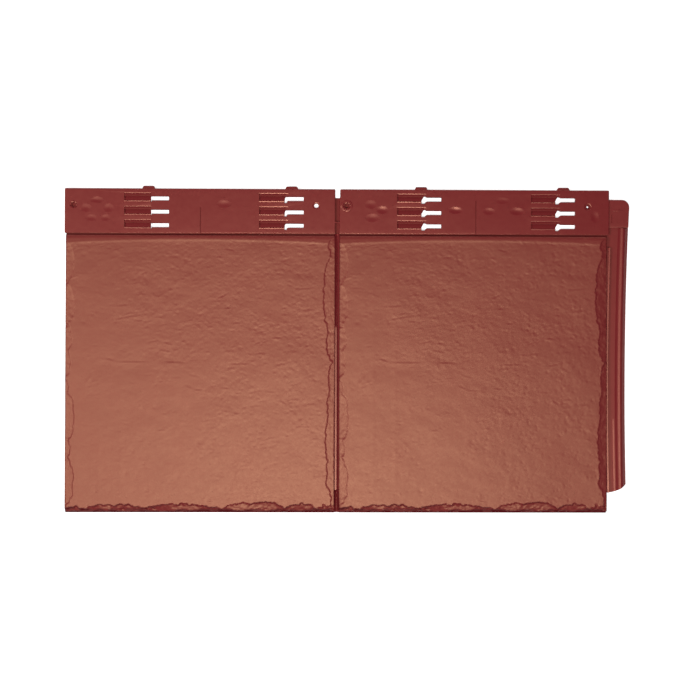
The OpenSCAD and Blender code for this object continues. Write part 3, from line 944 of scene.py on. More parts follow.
def run_group(group, base, values):
    """Gives a piece the group as its modifier, sets the inputs and makes the mesh."""
    modifier = base.modifiers.new(group.name, "NODES")
    modifier.node_group = group
    sockets = inputs(group)
    for title, value in values.items():
        modifier[sockets[title]] = value
    return evaluated(base)

# %% Ribs as a node group
def rib_group():
    """Evenly spaced upright boxes in two directions, sheared up to a sloping skin."""
    group, nodes, entry = node_group("ribs", {
        "Width": "Float", "Length": "Float", "Ribs Up": "Int", "Ribs Across": "Int",
        "Thickness": "Float", "Foot": "Float", "Butt Top": "Float", "Head Top": "Float",
        "Finish": "Material"})

    def given(title):
        return Value(nodes, entry.outputs[title])

    def vector(x, y, z):
        return nodes.node("ShaderNodeCombineXYZ", None, {0: x, 1: y, 2: z}).outputs[0]

    def row(count, step, middle, box):
        line = nodes.node("GeometryNodeMeshLine", None, {
            "Count": count, "Start Location": middle, "Offset": step})
        cube = nodes.node("GeometryNodeMeshCube", None, {"Size": box})
        return nodes.node("GeometryNodeInstanceOnPoints", None, {
            "Points": line.outputs["Mesh"], "Instance": cube.outputs["Mesh"]})

    step_x = given("Width") / (given("Ribs Up") + 1)
    step_y = given("Length") / (given("Ribs Across") + 1)
    up = row(entry.outputs["Ribs Up"], vector(step_x, 0.0, 0.0),
             vector(step_x, given("Length") / 2, 0.5),
             vector(given("Thickness"), given("Length"), 1.0))
    across = row(entry.outputs["Ribs Across"], vector(0.0, step_y, 0.0),
                 vector(given("Width") / 2, step_y, 0.5),
                 vector(given("Width"), given("Thickness"), 1.0))
    both = nodes.node("GeometryNodeMeshBoolean", {"operation": "UNION", "solver": "EXACT"})
    for instances in (up, across):
        real = nodes.node("GeometryNodeRealizeInstances", None, {
            "Geometry": instances.outputs["Instances"]})
        nodes.tree.links.new(real.outputs["Geometry"], both.inputs["Mesh 2"])
    place = nodes.node("GeometryNodeInputPosition").outputs["Position"]
    split = nodes.node("ShaderNodeSeparateXYZ", None, {0: place})
    x, y, z = (Value(nodes, split.outputs[i]) for i in range(3))
    skin = given("Butt Top") + (given("Head Top") - given("Butt Top")) * y / given("Length")
    moved = nodes.node("GeometryNodeSetPosition", None, {
        "Geometry": both.outputs["Mesh"],
        "Position": vector(x, y, given("Foot") + z * (skin - given("Foot")))})
    finish_group(nodes, moved.outputs["Geometry"])
    return group


ribs_nodes = rib_group()
print("inputs of the ribs' group:", list(inputs(ribs_nodes)))

# %% Ribs under both slates
RIB_T, RIB_FOOT = 2.0, 4.0
RIBS_UP, RIBS_ACROSS = 4, 3
RIB_BACK = 3.4          # how far inside a slate's sides the ribs end, in the slope of its wall
RIB_TOP = {"Butt Top": BUTT_Z - WALL - 0.6, "Head Top": HEAD_Z - WALL}      # inside the skin

ribs = []
for side, left in starts.items():
    base = object_from(f"ribs_{side}", [], [], slate_finish)
    run_group(ribs_nodes, base, {
        "Width": (slate_w - 2 * RIB_BACK) * MM, "Length": (SLATE_L - 3 * RIB_BACK) * MM,
        "Ribs Up": RIBS_UP, "Ribs Across": RIBS_ACROSS, "Thickness": RIB_T * MM,
        "Foot": RIB_FOOT * MM, **{title: z * MM for title, z in RIB_TOP.items()},
        "Finish": slate_finish})
    shift = to_frame([(left + RIB_BACK, 1.5 * RIB_BACK, 0)])[0]
    base.data.transform(Matrix.Translation(shift))
    ribs.append(outward(base))
    report(base)

# %% [markdown]
# ## Shapes from stacked outlines
# The header's features are all flat shapes with a rounded or chamfered rim: the bar itself,
# its tabs, the slots, the nail holes. Each is a stack of outlines at rising heights, where the
# rim's outlines are offset a little. The same tool makes solids to add and to take away.

# %% Outlines and prisms
ALMOST = 0.98           # a rounded corner takes at most this much of the half side beside it
SHARPEST = 0.3          # limits how far a sharp corner moves when an outline grows


def rectangle(x0, y0, x1, y1):
    """A rectangle between two corners."""
    return [(x0, y0), (x1, y0), (x1, y1), (x0, y1)]


def ellipse(x, y, width, length, sides=40, turn=0.0):
    """An ellipse round a middle, turned by some degrees."""
    angles = np.linspace(0, 2 * math.pi, sides, endpoint=False)
    dx, dy = width / 2 * np.cos(angles), length / 2 * np.sin(angles)
    across, up = math.cos(math.radians(turn)), math.sin(math.radians(turn))
    return [(x + a * across - b * up, y + a * up + b * across) for a, b in zip(dx, dy)]


def rounded(points, radius, steps=4):
    """An outline with its corners rounded."""
    points = [np.array(point, float) for point in points]
    made = []
    for i, corner in enumerate(points):
        before = points[i - 1] - corner
        after = points[(i + 1) % len(points)] - corner
        room = min(np.linalg.norm(before), np.linalg.norm(after)) / 2
        before, after = before / np.linalg.norm(before), after / np.linalg.norm(after)
        half_angle = math.acos(np.clip(before @ after, -1, 1)) / 2
        reach = min(radius / math.tan(half_angle), room * ALMOST)
        start, end = corner + before * reach, corner + after * reach
        for share in np.linspace(0, 1, steps + 1):
            back = 1 - share
            made.append(back ** 2 * start + 2 * share * back * corner + share ** 2 * end)
    return [tuple(point) for point in made]


def grown(points, distance):
    """An anticlockwise outline moved outward by a distance."""
    points = np.array(points, float)
    side = np.roll(points, -1, axis=0) - points
    side /= np.linalg.norm(side, axis=1)[:, None]
    normal = np.stack([side[:, 1], -side[:, 0]], -1)
    before = np.roll(normal, 1, axis=0)
    share = 1 + (normal * before).sum(axis=1)
    return points + distance * (normal + before) / np.maximum(share, SHARPEST)[:, None]


def stack(name, points, levels, finish):
    """A closed solid from outlines at rising heights; a level is (height, growth)."""
    rings = [np.column_stack([grown(points, growth), np.full(len(points), height)])
             for height, growth in levels]
    count = len(points)
    corners = np.concatenate(rings)
    faces = [range(count - 1, -1, -1), range(len(corners) - count, len(corners))]
    for level in range(len(rings) - 1):
        first = np.arange(count) + level * count
        faces += list(strip(first, first + count))
    return outward(object_from(name, corners, faces, finish))


def rolled_rim(height, radius, steps=4):
    """Levels of an edge that rolls over at the top of a solid."""
    angles = np.linspace(0, math.pi / 2, steps + 1)
    return [(height - radius + radius * math.sin(a), radius * math.cos(a) - radius)
            for a in angles]


def flared(bottom, height, flare):
    """Levels of a cutter that widens by a chamfer where it leaves the surface."""
    return [(bottom, 0), (height - flare, 0), (height, flare), (height + 1, flare)]


def combine(piece, other, operation):
    """Adds a solid to a piece, or takes it away, and removes that solid."""
    modifier = piece.modifiers.new(operation, "BOOLEAN")
    modifier.operation = operation
    modifier.solver = "MANIFOLD"
    modifier.object = other
    evaluated(piece)
    bpy.data.objects.remove(other)
    return piece


def weighted(piece):
    """Shades large flat faces flat, with the light rolling over the rims only."""
    modifier = piece.modifiers.new("weighted", "WEIGHTED_NORMAL")
    modifier.keep_sharp = True
    modifier.weight = 100
    return evaluated(piece)

# %% [markdown]
# ## Header
# The header is the smooth bar that is nailed to the batten and covered by the next course. Its
# outline has an open notch between the two modules; four spacer tabs stand on its top edge.

# %% Header bar and tabs
HEADER_Y = SLATE_L + 1.8        # its lower edge, beyond the groove along the slates' heads
HEADER_CORNER, HEADER_RIM = 1.2, 0.9    # radii of its corners and of its rolled rim
NOTCH_W, NOTCH_L = 5.4, 9.6
TAB_ROOT, TAB_TIP, TAB_Z = 14.6, 11.8, 5.0
TAB_CORNER, TAB_RIM = 1.6, 0.7
TAB_LEFT, TAB_RIGHT = 93.5, 51.5        # from a module's left and right edges
TAB_START = body_l - 3          # a tab starts inside the header
BELOW = -1              # height where a cutter starts that goes right through

modules = (0.0, PITCH)
notch_left, notch_right = PITCH - NOTCH_W / 2, PITCH + NOTCH_W / 2
header_outline = rounded([
    (0, HEADER_Y), (header_w, HEADER_Y), (header_w, body_l), (notch_right, body_l),
    (notch_right, body_l - NOTCH_L), (notch_left, body_l - NOTCH_L), (notch_left, body_l),
    (0, body_l)], HEADER_CORNER)
header = stack("header", header_outline, [(0, 0), *rolled_rim(HEADER_Z, HEADER_RIM)],
               smooth_finish)
tab_levels = [(0, 0), *rolled_rim(TAB_Z, TAB_RIM)]
for left in modules:
    for x in (left + TAB_LEFT, left + PITCH - TAB_RIGHT):
        root_left, root_right = x - TAB_ROOT / 2, x + TAB_ROOT / 2
        tab = rounded([
            (root_left, TAB_START), (root_right, TAB_START), (root_right, body_l),
            (x + TAB_TIP / 2, tile_l), (x - TAB_TIP / 2, tile_l), (root_left, body_l)],
            TAB_CORNER)
        combine(header, stack("tab", tab, tab_levels, smooth_finish), "UNION")
report(header)

# %% [markdown]
# ### Locking slots
# Each module has two banks of three slots. A slot goes right through and has a hooked entry at
# its inner end, and a blind pocket runs on from it. All rows of a bank are alike, so one cutter
# is made and Geometry Nodes repeat it at the rows' spacing.

# %% Outlines of slots and pockets
SLOT_L, SLOT_W = 21.5, 5.0
SLOT_CORNER, SLOT_CHAMFER = 0.35, 0.3
POCKET_L = 29.5
POCKET_OVERRUN = 0.3    # how far a pocket runs on past the slot's inner end, to open into it
RIM_OVERRUN = 3.0       # the same for the chamfer of its upper rim

# Outlines round a row's middle line: the plain entry, the hooked one and the hooked one with
# a slanted corner above. They are a little narrower than a plain slot and lie a little higher
# up the slope.
low, high = -SLOT_W / 2 + 0.9, SLOT_W / 2 + 0.4
end = SLOT_L - 1.2
PLAIN_SLOT = [(0, low - 1.6), (0.7, low - 1.6), (1.4, low), (end, low), (end, high), (0, high)]
HOOKED_SLOT = [(-1.1, low - 2.4), (1.2, low - 2.4), (1.8, low - 0.7), (2.9, low), (end, low),
               (end, high), (0.1, high), (-0.7, high - 1.6)]
SLANTED_SLOT = [(-2.0, low - 2.4), (1.3, low - 2.4), (2.3, low - 1.0), (3.9, low), (end, low),
                (end, high), (4.0, high), (1.7, high + 1.2), (0.7, high + 1.2), (-2.0, high - 3.4)]

# A pocket's section, from its upper rim to its lower one: (above the middle line, height).
# A thin chamfer runs along either rim, and the floor rises gently toward the lower one.
POCKET_SECTION = [(6.4, 7), (6.4, 5.2), (6.2, 4.6), (4.3, 4.9), (3.6, 4.75), (3.5, 3.2),
                  (-1.9, 4.3), (-2.0, 5.7), (-2.1, 5.92), (-2.9, 5.71), (-3.0, 6), (-3.0, 7)]
UPPER_RIM = [(7.2, 7), (7.2, 6), (7.1, 5.97), (6.3, 5.73), (6.2, 6), (6.2, 7)]


print(len(POCKET_SECTION), "points in a pocket's section")

# %% Slot banks
ROWS, ROW_STEP = 3, 15.0
ROW_DROP = 11.7         # first row's middle, below the header's top edge
SLOT_LEFT, SLOT_RIGHT = 96.0, 58.5      # inner ends, from a module's left and right edges


def at_origin(cutter):
    """Moves a cutter from the tile's corner to the frame's own origin, for copying."""
    cutter.data.transform(Matrix.Translation([-c for c in cad_low]))
    return cutter


def pocket_cutter(section, overrun):
    """A pocket's section drawn out along the row, a little beyond the slot's inner end."""
    section = np.array(section)
    rows = [np.column_stack([np.full(len(section), x), section]) for x in (-POCKET_L, overrun)]
    count = len(section)
    first = np.arange(count)
    faces = [range(count), range(2 * count - 1, count - 1, -1), *strip(first, first + count)]
    return outward(object_from("pocket", np.concatenate(rows), faces, smooth_finish))


def bank_group():
    """Copies of a cutter in a column of rows."""
    group, nodes, entry = node_group("slot_bank", {
        "Cutter": "Object", "Rows": "Int", "First Row": "Vector", "Step": "Vector",
        "Finish": "Material"})
    line = nodes.node("GeometryNodeMeshLine", None, {
        "Count": entry.outputs["Rows"], "Start Location": entry.outputs["First Row"],
        "Offset": entry.outputs["Step"]})
    shape = nodes.node("GeometryNodeObjectInfo", None, {"Object": entry.outputs["Cutter"]})
    copies = nodes.node("GeometryNodeInstanceOnPoints", None, {
        "Points": line.outputs["Mesh"], "Instance": shape.outputs["Geometry"]})
    finish_group(nodes, copies.outputs["Instances"])
    return group


bank_nodes = bank_group()
banks = [(SLOT_LEFT, PLAIN_SLOT, 0), (PITCH - SLOT_RIGHT, HOOKED_SLOT, RIM_OVERRUN),
         (PITCH + SLOT_LEFT, SLANTED_SLOT, RIM_OVERRUN),
         (2 * PITCH - SLOT_RIGHT, SLANTED_SLOT, RIM_OVERRUN)]
slot_levels = flared(BELOW, HEADER_Z, SLOT_CHAMFER)
for number, (x, outline, overrun) in enumerate(banks, 1):
    first_row = to_frame([(x, body_l - ROW_DROP, 0)])[0].tolist()
    cutters = [stack("slot", rounded(outline, SLOT_CORNER, 2), slot_levels, smooth_finish),
               pocket_cutter(POCKET_SECTION, POCKET_OVERRUN), pocket_cutter(UPPER_RIM, overrun)]
    for cutter in cutters:
        bank = object_from(f"bank_{number}", [], [], smooth_finish)
        run_group(bank_nodes, bank, {
            "Cutter": at_origin(cutter), "Rows": ROWS, "First Row": first_row,
            "Step": (0, -ROW_STEP * MM, 0), "Finish": smooth_finish})
        combine(header, bank, "DIFFERENCE")
        bpy.data.objects.remove(cutter)
report(header)
print("inputs of the bank's group:", list(inputs(bank_nodes)))

# %% [markdown]
# ### Nail holes, keyway run and marks
# Each module has a nail hole near either end. The left ones are still closed by a thin scored
# skin that the nail breaks; the far right one is open only in the middle. The keyway runs on
# through the header as a channel with a cross bar. Fine scribed lines are left by the tool's
# inserts, and shallow round sinks lie where the plastic drew in as it cooled.

# %% Nail holes
NAIL_LEFT, NAIL_RIGHT, NAIL_DROP = 10.0, 24.0, 18.5
NAIL_D, DISH_D, DISH_DEEP = 5.0, 8.6, 0.45
ARM_L, ARM_W, ARM_DEEP, ARM_FLARE = 8.0, 0.9, 1.4, 0.25         # arms of the scored star
STAR = (20, 80, 140)    # their directions
RING_D = 13.4           # low raised ring round one hole, and its levels over the header
RING = [(-0.5, 0), (0.05, 0), (0.25, -0.35), (0.32, -0.9)]
# Each hole is: x, height of its bottom, width of the hole through that bottom, star
NAIL_HOLES = [(NAIL_LEFT, 2.2, 0, STAR), (PITCH + NAIL_LEFT, 2.2, 0, STAR),
              (PITCH - NAIL_RIGHT, BELOW, 0, ()), (2 * PITCH - NAIL_RIGHT, 3.0, 2.3, ())]
nail_y = body_l - NAIL_DROP


def take(points, levels):
    """Takes a stack of outlines out of the header."""
    combine(header, stack("cutter", points, levels, smooth_finish), "DIFFERENCE")


def nail_hole(x, bottom, through, star):
    """A dished hole, blind down to the bottom height, with a through hole or a scored star."""
    dish, dish_z = (DISH_D - NAIL_D) / 2, HEADER_Z - DISH_DEEP
    take(ellipse(x, nail_y, NAIL_D, NAIL_D), [
        (bottom, 0), (dish_z, 0.02), (dish_z + 0.04, dish - 0.5), (HEADER_Z, dish),
        (HEADER_Z + 1, dish)])
    if through:
        take(ellipse(x, nail_y, through, through), [(BELOW, 0), (bottom + 1, 0)])
    for turn in star:
        take(ellipse(x, nail_y, ARM_L, ARM_W, 12, turn),
             [(HEADER_Z - ARM_DEEP, 0), (HEADER_Z, ARM_FLARE), (HEADER_Z + 1, ARM_FLARE)])


ring = stack("ring", ellipse(PITCH + NAIL_LEFT, nail_y, RING_D, RING_D),
             [(HEADER_Z + height, growth) for height, growth in RING], smooth_finish)
combine(header, ring, "UNION")
for hole in NAIL_HOLES:
    nail_hole(*hole)
report(header)

# %% Keyway run and scribed lines
BAR_DROP, BAR_T = 37.0, 1.6
RUN_Z, RUN_CHAMFER = 2.0, 0.35          # the run's floor and the chamfer along its rim
SCRIBE_W, SCRIBE_DEEP, SCRIBE_CHAMFER = 0.8, 0.9, 0.1
SCRIBES = [(PITCH / 2 - 1, 341), (PITCH * 3 / 2 + 2.5, 350)]    # middle x and upper end
keyway_left, keyway_right = INSET + PITCH - KEYWAY_W, INSET + PITCH
bar_y = body_l - BAR_DROP
for start, stop in ((HEADER_Y - 1, bar_y - BAR_T / 2),
                    (bar_y + BAR_T / 2, body_l - NOTCH_L + 0.5)):
    take(rectangle(keyway_left, start, keyway_right, stop), flared(RUN_Z, HEADER_Z, RUN_CHAMFER))
for x, top_y in SCRIBES:
    take(rectangle(x - SCRIBE_W / 2, HEADER_Y - 1, x + SCRIBE_W / 2, top_y),
         flared(HEADER_Z - SCRIBE_DEEP, HEADER_Z, SCRIBE_CHAMFER))
report(header)

# %% Shallow sinks in the header
# Each sink is: middle x, middle y, width, length, depth
SINKS = [(355, 339, 15, 10, 0.40), (437, 339, 18, 9, 0.45), (506, 338, 18, 10, 0.42),
         (474.5, 338, 16, 9, 0.30), (594, 332, 11, 14, 0.32), (178, 345, 18, 10, 0.24),
         (342, 345, 16, 11, 0.24), (344, 330, 18, 11, 0.24), (490, 350, 20, 9, 0.20),
         (24, 340, 14, 11, 0.26), (49, 340, 14, 11, 0.26), (36, 349, 18, 8, 0.24),
         (30, 329, 16, 9, 0.20), (46, 329, 13, 9, 0.20)]
SINK_CORE = 0.06        # the innermost ring's share of a sink's width
HAIR = 0.01             # keeps two surfaces from lying in one plane


def sink(x, y, width, length, depth, sides=40, rings=9):
    """A cutter for a shallow round sink whose rim blends softly into the header."""
    made = []
    for share in np.linspace(SINK_CORE, 1, rings):
        height = HEADER_Z - depth * (1 - share ** 2) ** 2 + HAIR
        around = ellipse(x, y, width * share, length * share, sides)
        made.append(np.column_stack([around, np.full(sides, height)]))
    lid = made[-1] + (0, 0, 1)
    corners = np.concatenate([*made, lid])
    faces = [range(sides - 1, -1, -1), range(len(corners) - sides, len(corners))]
    for level in range(rings):
        first = np.arange(sides) + level * sides
        faces += list(strip(first, first + sides))
    return outward(object_from("sink", corners, faces, smooth_finish))


for place in SINKS:
    combine(header, sink(*place), "DIFFERENCE")
print(len(SINKS), "sinks")

# %% Hollow below the header
# It spares a solid round every slot bank, the keyway's run and every nail hole
HOLLOW_Z, HOLLOW_Y = HEADER_Z - WALL, SLATE_L + 6.3
SOLID_Y = HOLLOW_Y - 5  # where the solids start, outside the hollow

hollow = stack("hollow", rectangle(WALL, HOLLOW_Y, header_w - WALL, body_l - WALL),
               [(BELOW, 0), (HOLLOW_Z, 0)], smooth_finish)
solids = [rectangle(x - POCKET_L - WALL, SOLID_Y, x + SLOT_L + WALL, body_l)
          for x, _, _ in banks]
solids.append(rectangle(keyway_left - WALL, SOLID_Y, keyway_right + WALL, body_l))
solids += [ellipse(x, nail_y, DISH_D + 2 * WALL, DISH_D + 2 * WALL)
           for x, _, _, _ in NAIL_HOLES]
for outline in solids:
    combine(hollow, stack("solid", outline, [(BELOW - 1, 0), (HOLLOW_Z + 1, 0)], smooth_finish),
            "DIFFERENCE")
combine(header, hollow, "DIFFERENCE")
outward(header, tidy=True)
weighted(header)
report(header)

# %% [markdown]
# ## Keyway
# The keyway is the narrow floor between the two slates, which makes them look like separate
# ones. A soft bead runs up along it beside the left slate. Above the bead the floor is a
# shallow V, and the last stretch at the butt lies lower.

# %% Keyway floor
KEYWAY_Z, KEYWAY_STEP_L, KEYWAY_LOW = 3.1, 25.0, 1.6
BEAD_X, BEAD_HALF_W, BEAD_H = 1.4, 2.1, 1.9     # its middle lies near the left slate
BEAD_END_Y, BEAD_BLUNT = 208.0, 5
GROOVE_FALL = 0.7       # how steeply the floor falls to its middle where there is no bead
BUMP_X, BUMP_HALF_W, BUMP_H = 1.6, 0.8, 0.9     # a short bump on the low stretch
BUMP_Y, BUMP_HALF_L = 19, 3.5
TUCK = 0.6              # how far the floor reaches under the slates
STEP_BEFORE, STEP_AFTER = 0.8, 0.4      # the step at the low stretch, before and after its place
FLOOR_BUTT, FLOOR_HEAD = 0.4, HEADER_Y + 0.4    # the floor's two ends
FINE_END, NEXT_LINE = 30, 30.6          # its grid is finer up to here, past the step


def block(name, xs, ys, heights, finish):
    """A closed block on the bed whose top is a grid of heights."""
    x, y = np.meshgrid(xs, ys)
    upper = np.stack([x, y, heights], -1).reshape(-1, 3)
    lower = upper * (1, 1, 0)
    rows, columns = len(ys), len(xs)
    ring = rim(rows, columns)
    faces = [*quads(rows, columns), *quads(rows, columns, len(upper))[:, ::-1],
             *strip(ring + len(upper), ring)]
    return outward(object_from(name, np.concatenate([upper, lower]), faces, finish))


bead_x = np.linspace(keyway_left - TUCK, keyway_right + TUCK, 30)
bead_y = np.concatenate([np.linspace(FLOOR_BUTT, FINE_END, 60),
                         np.linspace(NEXT_LINE, FLOOR_HEAD, 200)])
x, y = np.meshgrid(bead_x, bead_y)
off = np.abs(x - keyway_left - BEAD_X) / BEAD_HALF_W
past_end = np.maximum(y - BEAD_END_Y, 0) / BEAD_HALF_W
upper_run = rise(y, KEYWAY_STEP_L - STEP_BEFORE, KEYWAY_STEP_L + STEP_AFTER)
bead = np.clip(1 - off ** BEAD_BLUNT - past_end ** 2, 0, 1) ** 0.5 * upper_run
heights = KEYWAY_LOW + (KEYWAY_Z - KEYWAY_LOW) * upper_run + BEAD_H * bead
heights += GROOVE_FALL * np.abs(x - (keyway_left + keyway_right) / 2) * (bead == 0)
off, along = (x - keyway_left - BUMP_X) / BUMP_HALF_W, (y - BUMP_Y) / BUMP_HALF_L
heights += BUMP_H * np.clip(1 - off ** 4 - along ** 6, 0, 1) ** 0.5
keyway = block("keyway", bead_x, bead_y, heights, satin_finish)
report(keyway)

# %% [markdown]
# ## Gutter
# The gutter along the right side carries rain down to the course below. Its outer edge bows in
# a little, and a wide ridge and a thin rib follow that bow. The rib's flat top leans toward
# the slate, and a low shelf joins the two. A section drawn across the gutter
# is swept along the path: just what Curve to Mesh does. The flange's rounded outline is then
# cut out of the sweep.

# %% Gutter path and outline
GUTTER_Y, FLANGE_Y = 22.7, 351.7        # lower and upper edges of the flange
LOW_CORNER_R, TOP_CORNER_R = 31.0, 8.5
LOW_CORNER_X = 607.5            # middle of the lower corner's arc, which meets the edge at a slant
BOW, BOW_Y = 4.7, 137.0         # how far the edge bows in, and where it lies furthest in
PLATE_Y = 320.0

bow_run = FLANGE_Y - TOP_CORNER_R - BOW_Y
bow_r = (bow_run ** 2 + BOW ** 2) / (2 * BOW)


def edge_x(y):
    """The flange's outer edge."""
    return tile_w - BOW + bow_r - math.sqrt(bow_r ** 2 - (y - BOW_Y) ** 2)


def curve_object(name, points, closed=False):
    """A poly curve through points in metres."""
    data = bpy.data.curves.new(name, "CURVE")
    data.dimensions = "3D"
    line = data.splines.new("POLY")
    line.points.add(len(points) - 1)
    for point, place in zip(line.points, points):
        point.co = (*place, 1)
    line.use_cyclic_u = closed
    made = bpy.data.objects.new(name, data)
    bpy.context.scene.collection.objects.link(made)
    return made


def path_along(low_y, high_y, inward, steps=60):
    """The bowed path at a distance inside the outer edge."""
    places = [(edge_x(y) - inward, y, 0) for y in np.linspace(low_y, high_y, steps)]
    return curve_object("path", to_frame(places).tolist())


def sweep_group():
    """A section swept along a path; it can grow from one end to the other."""
    group, nodes, entry = node_group("sweep", {
        "Path": "Object", "Section": "Object", "Start Size": "Float", "End Size": "Float",
        "Finish": "Material"})
    path = nodes.node("GeometryNodeObjectInfo", None, {"Object": entry.outputs["Path"]})
    section = nodes.node("GeometryNodeObjectInfo", None, {"Object": entry.outputs["Section"]})
    upright = nodes.node("GeometryNodeSetCurveNormal", {"mode": "Z_UP"}, {
        "Curve": path.outputs["Geometry"]})
    share = nodes.value(nodes.node("GeometryNodeSplineParameter"), "Factor")
    start, end = (Value(nodes, entry.outputs[title]) for title in ("Start Size", "End Size"))
    sized = nodes.node("GeometryNodeSetCurveRadius", None, {
        "Curve": upright.outputs["Curve"], "Radius": start + (end - start) * share})
    swept = nodes.node("GeometryNodeCurveToMesh", None, {
        "Curve": sized.outputs["Curve"], "Profile Curve": section.outputs["Geometry"],
        "Fill Caps": True})
    finish_group(nodes, swept.outputs["Mesh"])
    return group


sweep_nodes = sweep_group()


def swept(name, path, section, finish, start_size=1.0, end_size=1.0):
    """A mesh swept along a path from a section of (inward, height) points in millimetres.

    Curve to Mesh lays the section's y axis downward here, so heights enter as negative."""
    places = [(-inward * MM, -height * MM, 0) for inward, height in section]
    profile = curve_object("section", places, closed=True)
    base = object_from(name, [], [], finish)
    run_group(sweep_nodes, base, {
        "Path": path, "Section": profile, "Start Size": start_size, "End Size": end_size,
        "Finish": finish})
    bpy.data.objects.remove(path)
    bpy.data.objects.remove(profile)
    return outward(base)

# %% Sweep the gutter, its rib and its wave
LIP_W, RIDGE_W, RIDGE_H = 0.8, 10.5, 3.4
RIB_IN, RIB_W, RIB_H = 20.4, 1.9, 3.6
RIB_LEAN = math.tan(math.radians(9))    # the top's slope toward the slate
SHELF_W, SHELF_DROP = 1.6, 0.7          # shelf between rib and slate
RIB_END = SLATE_L - 12
RIB_CORNER = 0.15       # size of the small bevels along its top
WAVE_IN, WAVE_HALF_W, WAVE_H, WAVE_END = 11.8, 2.6, 0.9, 105.0
GUTTER_W, OUTSIDE = 28, -1      # the sweep is wider than the flange, which is cut out of it
PLATE_GAP = 0.6         # half the gap between the sweep's end and the plate
RIDGE_STEPS, WAVE_SIDES = 19, 24
WAVE_TIP = 0.05         # size of the wave's thin end
BURIED = -0.5           # the rib's and the shelf's foot, inside the flange
gutter_left = INSET + PITCH + slate_w - 1.0

ridge = [(LIP_W + RIDGE_W * share, FLANGE_Z + RIDGE_H * math.sin(math.pi * share))
         for share in np.linspace(0, 1, RIDGE_STEPS)]
section = [(OUTSIDE, 0), (OUTSIDE, FLANGE_Z), *ridge, (GUTTER_W, FLANGE_Z), (GUTTER_W, 0)]
gutter_path = path_along(GUTTER_Y - 2, PLATE_Y - PLATE_GAP, 0)
gutter = swept("gutter", gutter_path, section, gutter_finish)
print("after the sweep:", end=" ")
report(gutter)

rib_half = RIB_W / 2
rib_low = RIB_H - RIB_W * RIB_LEAN      # the top's edge toward the slate
rib_section = [
    (-rib_half, BURIED), (-rib_half, RIB_H - 2 * RIB_CORNER), (-rib_half + RIB_CORNER, RIB_H),
    (rib_half - RIB_CORNER, rib_low), (rib_half, rib_low - RIB_CORNER),
    (rib_half + RIB_CORNER, rib_low - SHELF_DROP), (rib_half + SHELF_W, rib_low - SHELF_DROP),
    (rib_half + SHELF_W, BURIED)]
rib_section = [(inward, height + FLANGE_Z) for inward, height in rib_section]
gutter_rib = swept("gutter_rib", path_along(GUTTER_Y + 0.1, RIB_END, RIB_IN), rib_section,
                   satin_finish)
weighted(gutter_rib)
report(gutter_rib)

turns = np.linspace(0, 2 * math.pi, WAVE_SIDES, endpoint=False)
wave_section = [(WAVE_HALF_W * math.cos(a), WAVE_H * math.sin(a)) for a in turns]
wave_path = path_along(WAVE_END, GUTTER_Y - 1, WAVE_IN)
for point in wave_path.data.splines[0].points:
    point.co.z += FLANGE_Z * MM
wave = swept("wave", wave_path, wave_section, gutter_finish, start_size=WAVE_TIP)
combine(gutter, wave, "UNION")
report(gutter)

# %% Plate at the gutter's head, and the outline
PLATE_LEFT, PLATE_RIGHT = header_w - 3, tile_w + 1      # both past the outline that is cut out
PLATE_DROP, PLATE_RUN = 0.3, 1.3        # slope of its rim
BRIDGE_HALF_L = 2       # a low bridge below that gap joins plate and gutter
HEAD_GAP = 2.2          # from the slate's end to the notch beside the header
SIDE_LAP = 0.4          # how far the plate reaches into the header's side
MEET_UP = 9             # the lower corner's arc meets the edge this far up

plate = rectangle(PLATE_LEFT, PLATE_Y + PLATE_GAP, PLATE_RIGHT, FLANGE_Y + 1)
bridge = rectangle(PLATE_LEFT, PLATE_Y - BRIDGE_HALF_L, PLATE_RIGHT, PLATE_Y + BRIDGE_HALF_L)
for name, points, levels in (
        ("plate", plate, [(0, 0), (PLATE_Z - PLATE_DROP, 0), (PLATE_Z, -PLATE_RUN)]),
        ("bridge", bridge, [(0, 0), (FLANGE_Z - PLATE_DROP, 0)])):
    combine(gutter, stack(name, points, levels, gutter_finish), "UNION")


def fillet(centre, radius, start, end, steps=10):
    """Points of a round corner."""
    angles = np.radians(np.linspace(start, end, steps))
    return [(centre[0] + radius * math.cos(a), centre[1] + radius * math.sin(a)) for a in angles]


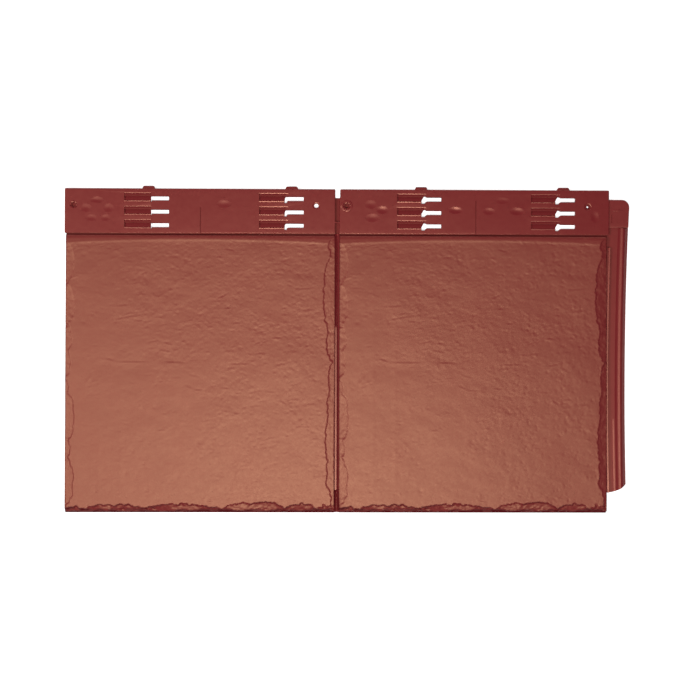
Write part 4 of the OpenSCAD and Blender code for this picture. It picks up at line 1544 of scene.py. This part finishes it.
low_corner = GUTTER_Y + LOW_CORNER_R
meets = math.degrees(math.acos((edge_x(GUTTER_Y + MEET_UP) - LOW_CORNER_X) / LOW_CORNER_R))
top_corner = FLANGE_Y - TOP_CORNER_R
outline = [(gutter_left, GUTTER_Y)]
outline += fillet((LOW_CORNER_X, low_corner), LOW_CORNER_R, -90, -meets, 14)
outline += [(edge_x(y), y) for y in np.linspace(outline[-1][1], top_corner, 50)[1:-1]]
outline += fillet((tile_w - TOP_CORNER_R, top_corner), TOP_CORNER_R, 0, 90)
outline += [(header_w - SIDE_LAP, FLANGE_Y), (header_w - SIDE_LAP, SLATE_L + HEAD_GAP),
            (gutter_left, SLATE_L + HEAD_GAP)]
shape = stack("outline", outline, [(0, 0), (tile_h, 0)], gutter_finish)
combine(gutter, shape, "INTERSECT")

# Small marks on the plate: an upright groove, a short one, and a low pad
GROOVES = [(rectangle(613.1, 326.2, 614.4, 335), 0.7),
           (rectangle(621.4, 340.2, 626, 341.4), 0.6)]
PAD, PAD_H, PAD_RUN = rectangle(614.6, 338.6, 621.6, 340.8), 0.16, 0.8
MARK_CHAMFER = 0.2
for points, depth in GROOVES:
    groove = stack("groove", points, flared(PLATE_Z - depth, PLATE_Z, MARK_CHAMFER),
                   gutter_finish)
    combine(gutter, groove, "DIFFERENCE")
pad = stack("pad", PAD, [(PLATE_Z - 0.5, 0), (PLATE_Z + HAIR, 0), (PLATE_Z + PAD_H, -PAD_RUN)],
            gutter_finish)
combine(gutter, pad, "UNION")
outward(gutter, tidy=True)
weighted(gutter)
report(gutter)

# %% [markdown]
# ## One object for the frame
# All regions ride on the one body and stand for the one CAD node. They are all of the one plastic.
# The bounds are kept to compare the finished tile with the CAD box.

# %% Hand the pieces to the frame
for piece in [*slates, *ribs, header, keyway, gutter, gutter_rib]:
    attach(piece, "root")
    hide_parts(NODE)

low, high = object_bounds()
for title, corners in (("CAD   ", (*cad_low, *cad_high)), ("visual", (*low, *high))):
    print(title, [round(v / MM, 2) for v in corners])
{"cad": [list(cad_low), list(cad_high)], "visual": [list(low), list(high)]}
